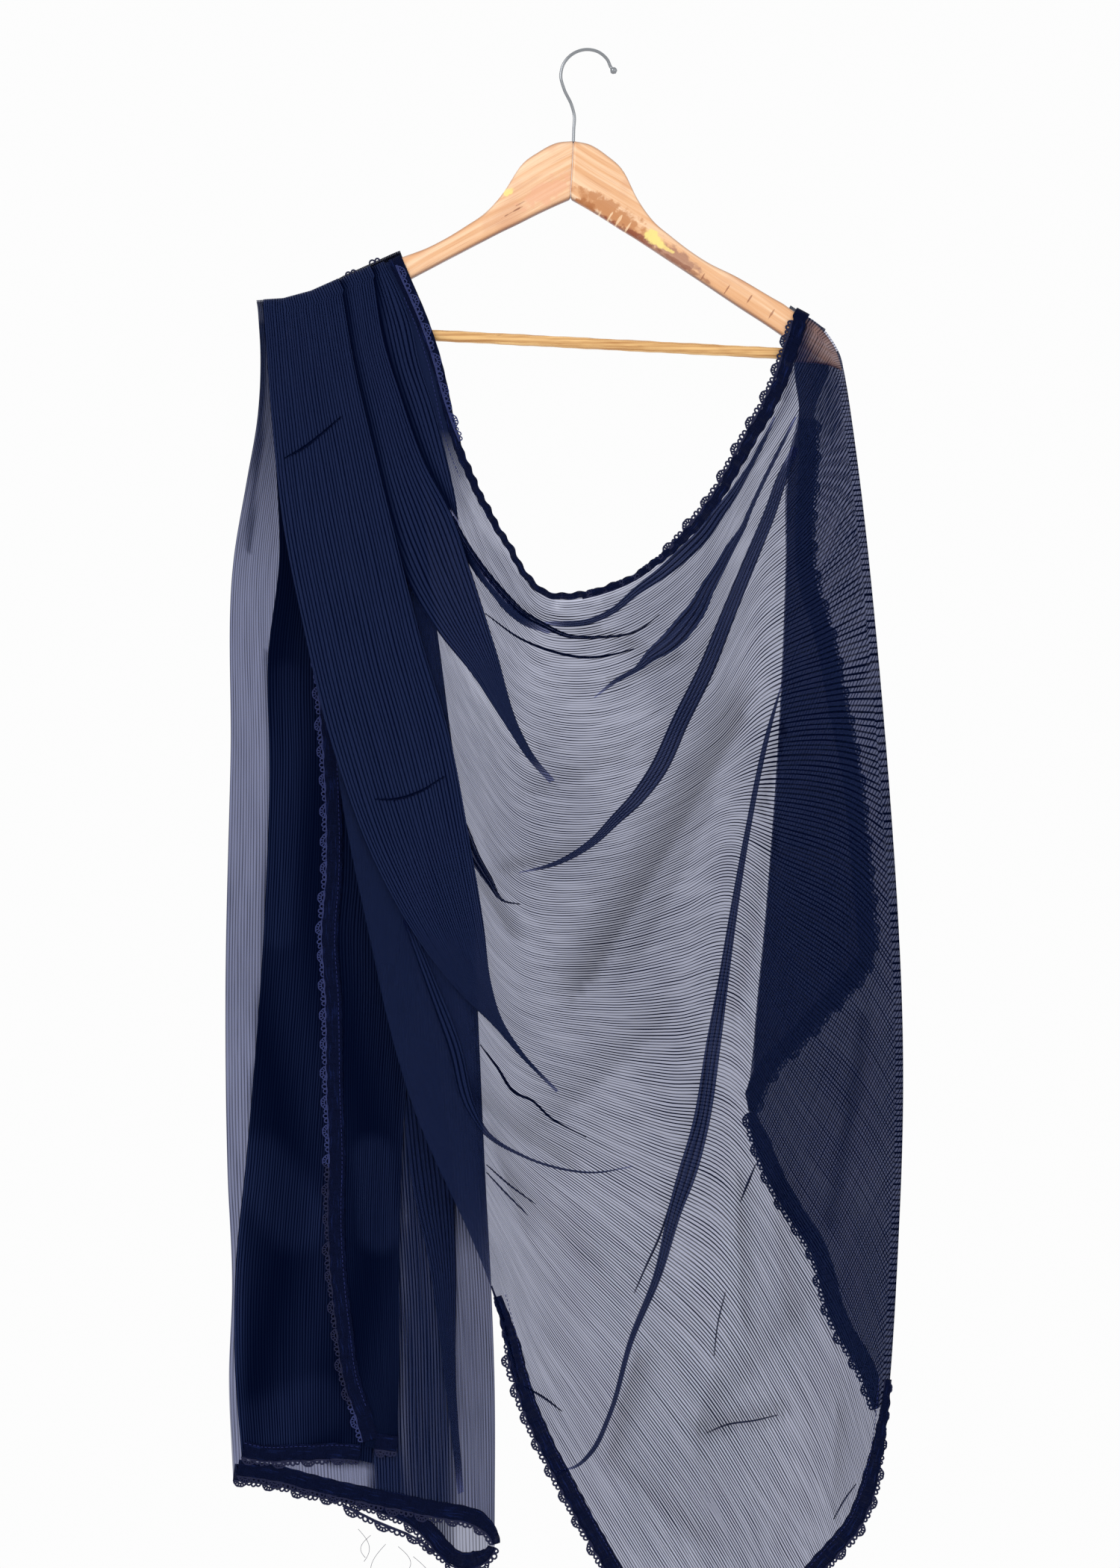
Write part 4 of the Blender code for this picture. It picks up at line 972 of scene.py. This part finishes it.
turnbackLeft = smoothLine(turnback["fold"] + turnback["hem"][1:], 160)
shares = np.linspace(turnback["start"], turnback["end"], 400)
turnbackRight = smoothLine(smooth(edgePoints, edgeShares, shares), 160)
inner = turnbackRight - squareTo(turnbackRight) * turnback["inset"]
keep = np.linalg.norm(inner - turnbackLeft, axis=1) > turnback["least"]
across = np.linspace(0, 1, 26)[None, :, None]
turnbackFlat = turnbackLeft[:, None, :] * (1 - across) + inner[:, None, :] * across
turnbackEdge = np.swapaxes(turn(turnbackRight, squareTo(turnbackRight), 1, 0, False)[::-1], 0, 1)
turnbackGrid = np.concatenate([lay(turnbackFlat, 1, 0), turnbackEdge], axis=1)[keep]
fromFold = np.linalg.norm(turnbackGrid - turnbackGrid[:, -1:, :], axis=-1) * mm
alongFold = np.linspace(turnback["start"], turnback["end"], 160)[keep][:, None] * cloth["width"]
turnbackUv = np.stack([fromFold * 0.47 + gridUv(turnbackGrid)[..., 0] * turnback["slant"],
                       alongFold - fromFold * turnback["slant"]], axis=-1)
place = flatOf(turnbackGrid)
x, drop = place[..., 0], place[..., 1]
# stronger lines all over, darker along the end flap's hem line, and painted shade along a crease
turnbackGatherAndShade = (0.4 + 0.9 * (1 - ramp(distanceTo(place, np.array(endFlap["bottom"], float) - (4, 5)), 4, 6))
                  + 0.7 * np.exp(-(distanceTo(place, turnback["crease"]) / 6) ** 2))
turnbackGatherAndShade[:, -3:] += 0.3
turnbackDense = (0.15 + 0.16 * ramp(drop, 350, 850)
                 + 0.14 * ramp(x, 176, 184) * (1 - ramp(x, 198, 206)) * (1 - ramp(drop, 290, 330)))
sheetPiece("rightTurnback", turnbackGrid, chiffonFall, "right_turnback", turnbackUv, turnbackGatherAndShade,
           turnbackDense)

print("hems and lace")

trim = {
    "hemWidth": 12.0,
    "hemHalf": 0.55,                  # half of the folded hem's thickness
    "hemLift": 0.35,                  # the hem's middle, in layers in front of its sheet
    "waveStep": 13.0,                 # the sewn edge pulls into waves about this long
    "waveDepth": 0.45,
    "laceRepeat": 23.0,
    "thread": 0.8,                    # radius
    "fanRadius": 5.0,
    "fanInner": 2.7,
    "fanCentre": 6.4,
    "shadedLace": (886.0, 1079.0),    # the drops between which the lace panel lies in the shade
    "stitchLength": 2.2,
    "stitchGap": 1.4,
}
trims = {}


def addTrim(owner, made):
    trims.setdefault(owner, []).append(made)


def byShare(run, stops):
    # a value that changes along a line, from stops of share and value
    return np.interp(run / run[-1], *np.array(stops, float).T)


def hemPiece(name, edge, outward, side, layer, node, widths, crowns=(False, False), waves=((0, 1),)):
    points = trace(edge, max(30, int(lengths(edge)[-1] / 1.6)))
    run = lengths(points)
    out = squareTo(points) * outward
    phase = rng.random() * 6
    ripple = (np.sin(run / trim["waveStep"] * math.tau + phase + 1.3 * np.sin(run / 31))
              + 0.5 * np.sin(run / 5.3 + phase)) * trim["waveDepth"] * byShare(run, waves)
    ripple *= np.clip(run / 12, 0, 1) * np.clip((run[-1] - run) / 12, 0, 1)
    offset = (-byShare(run, widths)[:, None] * np.linspace(0, 1, 5)
              + ripple[:, None] * np.array([1.0, 0.7, 0.4, 0.4, 0.6]))
    flat = points[:, None, :] + out[:, None, :] * offset[..., None]
    if crowns[0]:
        flat = onCrown(flat)
    if crowns[1]:
        flat = onCrown(flat[::-1], rightLine[:20])[::-1]
    thick = trim["hemHalf"] / cloth["layer"]
    front, back = (hangGrid(flat, side, layer + t, *crowns) for t in (thick, -thick))
    puckers = np.interp(np.linspace(0, 1, len(front)), run / run[-1], ripple)[:, None]
    front[..., 1] += side * puckers * 0.5
    back[..., 1] += side * puckers * 0.5
    middle = (front + back) / 2
    edgeOut = middle[:, 0] - middle[:, 1]
    edgeOut /= np.maximum(np.linalg.norm(edgeOut, axis=1), 1e-6)[:, None]
    rolled = middle[:, 0] + edgeOut * trim["hemHalf"]
    inner = middle[:, -1] - edgeOut * 0.2
    grid = np.concatenate([rolled[:, None], front, inner[:, None], back[:, ::-1]], axis=1)
    faces = gridFaces(*grid.shape[:2], True) + list(endFaces(*grid.shape[:2]))
    return tidyNormals(makePiece(name, grid, faces, hemCloth, node, gridUv(grid)))


def arc(centre, radius, start, end, count, squash=1.0):
    angles = np.radians(np.linspace(start, end, count))
    return np.stack([centre[0] + radius * np.cos(angles),
                     centre[1] + radius * np.sin(angles) * squash], axis=1)


def laceRepeatThreads():
    # one repeat, as threads in (along, outward): a fan of two rings and spokes, then three loops
    c, end = (trim["fanCentre"], 0.6), trim["laceRepeat"]
    r, inner = trim["fanRadius"], trim["fanInner"]
    scallop = arc(c, r, 0, 180, 23)
    lobes = 0.35 * np.abs(np.sin(np.radians(np.linspace(0, 180, 23)) * 4))[:, None]
    threads = [scallop + (scallop - c) / r * lobes, arc(c, inner, 0, 180, 13)]
    for angle in np.radians((24, 52, 80, 108, 136, 160)):
        threads.append(np.array([[c[0] + q * math.cos(angle), c[1] + q * math.sin(angle)]
                                 for q in (inner, (inner + r) / 2, r)]))
    for middle, rise in ((13.2, 1.9), (16.9, 2.6), (20.6, 1.9)):
        threads.append(arc((middle, rise), 1.55, -60, 240, 13, 1.2))
    threads.append(np.array([[0.0, 0.4], [11.5, 0.4], [end, 0.4]]))
    threads.append(np.array([[0.0, 1.3], [5.5, 1.2], [11.5, 1.3], [15.0, 0.9], [18.8, 0.9], [end, 1.3]]))
    return threads


def tubePiece(name, paths, radius, sides, material, node=None):
    # round threads along each path of points, as one mesh; the threads lie in the X-Z plane
    points, faces, start = [], [], 0
    angles = np.linspace(0, math.tau, sides, endpoint=False)[None, :, None]
    for path in paths:
        run = np.gradient(path, axis=0)
        run /= np.maximum(np.linalg.norm(run, axis=1), 1e-9)[:, None]
        over = np.cross(run, (0.0, 1.0, 0.0))
        over /= np.maximum(np.linalg.norm(over, axis=1), 1e-9)[:, None]
        ring = over[:, None] * np.cos(angles) + np.cross(over, run)[:, None] * np.sin(angles)
        points.append((path[:, None] + radius * ring).reshape(-1, 3))
        first, last = endFaces(len(path), sides)
        for face in gridFaces(len(path), sides, True) + [first[::-1], last]:
            faces.append(tuple(start + i for i in face))
        start += len(path) * sides
    return makePiece(name, np.concatenate(points), faces, material, node)


def lacePiece(name, edge, outward, side, layer, node, inset=((0, 0),)):
    dense = trace(edge, 900)
    run = lengths(dense)
    normals = squareTo(dense) * outward
    repeats = max(1, int(run[-1] // trim["laceRepeat"]))
    pitch = run[-1] / repeats
    insets = byShare(run, inset)
    paths = []
    for i in range(repeats):
        size, lean, curl = np.array([1, 0, 0]) + rng.normal(size=3) * (0.06, 0.12, 0.5)
        for thread in laceRepeatThreads():
            along = i * pitch + (thread[:, 0] + lean * thread[:, 1]) * pitch / trim["laceRepeat"]
            along = np.clip(along, 0, run[-1])
            height = thread[:, 1] * size
            away = (height - np.interp(along, run, insets))[:, None]
            path = lay(sample(dense, run, along) + sample(normals, run, along) * away, side, layer)
            path[:, 1] += side * curl * height / 8
            paths.append(path)
    lit = name in ("lacePanelSideLace", "necklineLaceLeft")
    made = tubePiece(name, paths, trim["thread"] * (0.7 if lit else 1.0), 5,
                     laceThreadLit if lit else laceThread, node)
    if name == "lacePanelSideLace":
        made.data.materials.append(laceThread)
        for face in made.data.polygons:
            face.material_index = int(trim["shadedLace"][0] < -face.center.z / mm < trim["shadedLace"][1])
    return made


neckline, longEdge = front[0], front[-1]
longEdge = longEdge[longEdge[:, 1] > 985]
endEdge = trace(front[frontShares > 0.562, -1], 200, 0, 0.99)
panelSide, panelHem = backFlat["fallLacePanel"][:, 0], backFlat["fallLacePanel"][-1]
middleHem = trace(backFlat["fallMiddle"][-1], 120, 0, 0.9)
even = ((0, trim["hemWidth"]), (1, trim["hemWidth"]))
bare = ((0, 0),)
addTrim("frontSheet", hemPiece(
    "necklineHem", neckline, 1, -1, trim["hemLift"], "neckline_hem",
    ((0, 11), (0.1, 9), (0.25, 6), (0.4, 4.5), (0.6, 4.5), (0.72, 7), (0.82, 8.5), (1, 10)), (True, True),
    ((0, 0), (0.2, 0.3), (0.3, 1.6), (1, 1.6))))
addTrim("frontSheet", lacePiece("necklineLaceRight", trace(neckline, 500, 0.52, 0.985), 1, -1, 0.1,
                                "neckline_lace_right", ((0, 5.5), (0.2, 5), (0.34, 0), (1, 0))))
addTrim("frontSheet", lacePiece("necklineLaceLeft", trace(neckline, 400, 0.008, 0.25), 1, -1, 1.0,
                                "neckline_lace_left", ((0, 7), (0.7, 6), (1, 1))))
# owner, node, line, outward, side, layer, the hem's widths, and how far its lace lies under it
edges = {
    "longEdge": ("frontSheet", "long_edge", longEdge, -1, -1, 0, ((0, 6), (0.1, 11), (1, 12)),
                 ((0, 6), (0.07, 5), (0.13, 0), (1, 0))),
    "endEdge": ("frontSheet", "end_edge", endEdge, 1, -1, 0, ((0, 4), (0.1, 7), (0.25, 12), (1, 12)),
                ((0, 5.2), (0.12, 4.5), (0.3, 0), (1, 0))),
    "turnback": ("rightTurnback", "turnback", trace(turnbackLeft, 200, *turnback["hemShare"]), -1, 1, 0,
                 ((0, 5), (0.1, 12), (0.9, 12), (1, 3)), bare),
    "endFlap": ("rightEndFlap", "end_flap", trace(flapFlat[-1], 120, 0.02, 0.98), -1, 1, 1,
                ((0, 4), (0.08, 12), (1, 12)), bare),
    "endFlapSide": ("rightEndFlap", "end_flap_side", trace(flapFlat[:, -1], 300, 0.14, 0.99), 1, 1, 1, even,
                    bare),
    "lacePanelSide": ("fallLacePanel", "lace_panel_side", trace(panelSide, 300, 0.24, 0.995), -1, 1, 0, even,
                      bare),
    "lacePanel": ("fallLacePanel", "lace_panel", trace(panelHem, 60, 0.3, 1), -1, 1, 0, even, bare),
    "middle": ("fallMiddle", "middle", middleHem, -1, 1, 1, even, bare),
    "fallInner": ("fallInner", "fall_inner", trace(backFlat["fallInner"][-1], 200, 0.01, 0.992), -1, 1, 2,
                  ((0, 12), (0.9, 12), (1, 5)), bare),
    "fallOuter": ("fallOuter", "fall_outer", trace(backFlat["fallOuter"][-1], 200, 0, 0.997), -1, 1, 3,
                  ((0, 12), (0.92, 12), (1, 5)), bare),
}
for name, (owner, node, line, outward, side, layer, widths, inset) in edges.items():
    addTrim(owner, hemPiece(name + "Hem", line, outward, side, layer - side * trim["hemLift"], node + "_hem",
                            widths))
    addTrim(owner, lacePiece(name + "Lace", line, outward, side, layer, node + "_lace", inset))


def stitchPiece(name, edge, outward, side, layer, inset):
    # a line of running stitches just inside an edge
    dense = trace(edge, 900)
    run = lengths(dense)
    line = dense - squareTo(dense) * outward * inset
    step = trim["stitchLength"] + trim["stitchGap"]
    paths = [lay(sample(line, run, np.linspace(i * step, i * step + trim["stitchLength"], 3)), side, layer)
             for i in range(int(run[-1] // step))]
    return tubePiece(name, paths, 0.28, 4, stitchThread)


addTrim("fallLacePanel", stitchPiece("lacePanelStitches", trace(panelSide, 600, 0.3, 0.97), -1, 1, -0.85,
                                     9.5))
addTrim("frontSheet", stitchPiece("longEdgeStitches", longEdge, -1, -1, 0.85, 9.5))
addTrim("frontSheet", stitchPiece("endEdgeStitches", endEdge, 1, -1, 0.85, 9.5))
addTrim("frontSheet", stitchPiece("necklineStitches", trace(neckline, 400, 0.05, 0.3), 1, -1, 0.9, 10.5))
addTrim("fallMiddle", stitchPiece("middleStitches", middleHem, -1, 1, 0.2, 10.5))

# a strip of the hem's lace that has come loose, and a few drawn threads
looseEdge = smoothLine([(-194, 1158), (-182, 1164), (-168, 1171), (-151, 1178), (-133, 1186),
                        (-121, 1197)], 120)
addTrim("fallOuter", lacePiece("looseLace", looseEdge, -1, 1, 2.2, None))
t = np.linspace(0, 1, 14)
# across, drop, length and bend
drawnThreads = [(-182, 1178, 26, 9), (-160, 1190, 34, -12), (-150, 1192, 22, 10), (-172, 1183, 18, -8),
                (-138, 1200, 30, 14)]
threadPaths = [lay(np.stack([x + bend * np.sin(t * 2.6), drop + length * t], axis=1), 1, 2.2)
               for x, drop, length, bend in drawnThreads]
addTrim("fallOuter", tubePiece("looseThreads", threadPaths, 0.16, 4, laceThread))
# the hem's lace peeps over the left crown in two places
tuftPaths = []
for x, drop, radius in ((-189, 178.2, 2.0), (-185, 176.2, 1.6), (-170, 168.8, 2.1), (-166, 167, 1.6)):
    ring = arc((x, drop), radius, 150, 390, 12)
    tuftPaths.append(np.stack([ring[:, 0], np.full(len(ring), -3.0), -ring[:, 1]], axis=1))
addTrim("frontSheet", tubePiece("crownTufts", tuftPaths, 0.75, 5, laceThread))

print("room")

# lens and sensor in millimetres, the frame's middle in millimetres, its height in metres
camera = {"lens": 85.0, "sensor": 36.0, "centre": (-20.8, -583.0), "frameHeight": 1.2474}
# lamps: place, aim, size, power
lamps = [((-1.6, -2.6, 0.9), (0, 0, -0.4), 1.4, 26), ((1.9, -2.2, 0.2), (0, 0, -0.5), 1.8, 9),
         ((-1.2, 2.6, 0.8), (0, 0, -0.5), 1.8, 14)]
floorSize, floorHeight = 1.1, -1.62


def addObject(name, data, place=(0, 0, 0), angles=(0, 0, 0)):
    made = bpy.data.objects.new(name, data)
    made.location = place
    made.rotation_euler = angles
    bpy.context.scene.collection.objects.link(made)
    return made


lens = bpy.data.cameras.new("camera")
lens.lens = camera["lens"]
lens.sensor_width = camera["sensor"]
distance = camera["frameHeight"] * camera["lens"] / camera["sensor"]
bpy.context.scene.camera = addObject("camera", lens, (camera["centre"][0] * mm, -distance,
                                                      camera["centre"][1] * mm), (math.pi / 2, 0, 0))

world = bpy.data.worlds.new("studio")
world.use_nodes = True
backdrop = world.node_tree.nodes["Background"].inputs
backdrop["Color"].default_value = (1.0, 1.0, 1.0, 1.0)
backdrop["Strength"].default_value = 0.98
bpy.context.scene.world = world
bpy.context.scene.view_settings.view_transform = "Standard"
bpy.context.scene.cycles.transparent_max_bounces = 32

for i, (place, aim, size, power) in enumerate(lamps):
    light = bpy.data.lights.new("softbox%d" % i, "AREA")
    light.size = size
    light.energy = power
    away = np.array(place) - np.array(aim)
    addObject("softbox%d" % i, light, place, (math.atan2(math.hypot(away[0], away[1]), away[2]), 0,
                                              math.atan2(away[0], -away[1])))

floorMesh = bpy.data.meshes.new("floor")
floorMesh.from_pydata([(x * floorSize, y * floorSize, floorHeight)
                       for x, y in ((-1, -1), (1, -1), (1, 1), (-1, 1))], [], [(0, 1, 2, 3)])
floorMaterial, floorTree = newMaterial("paintedFloor")
closeMaterial(floorMaterial, addNode(floorTree, "BsdfPrincipled", {
    "Base Color": hexColour("#f1f1f2"), "Roughness": 0.6}))
floorMesh.materials.append(floorMaterial)
addObject("floor", floorMesh)
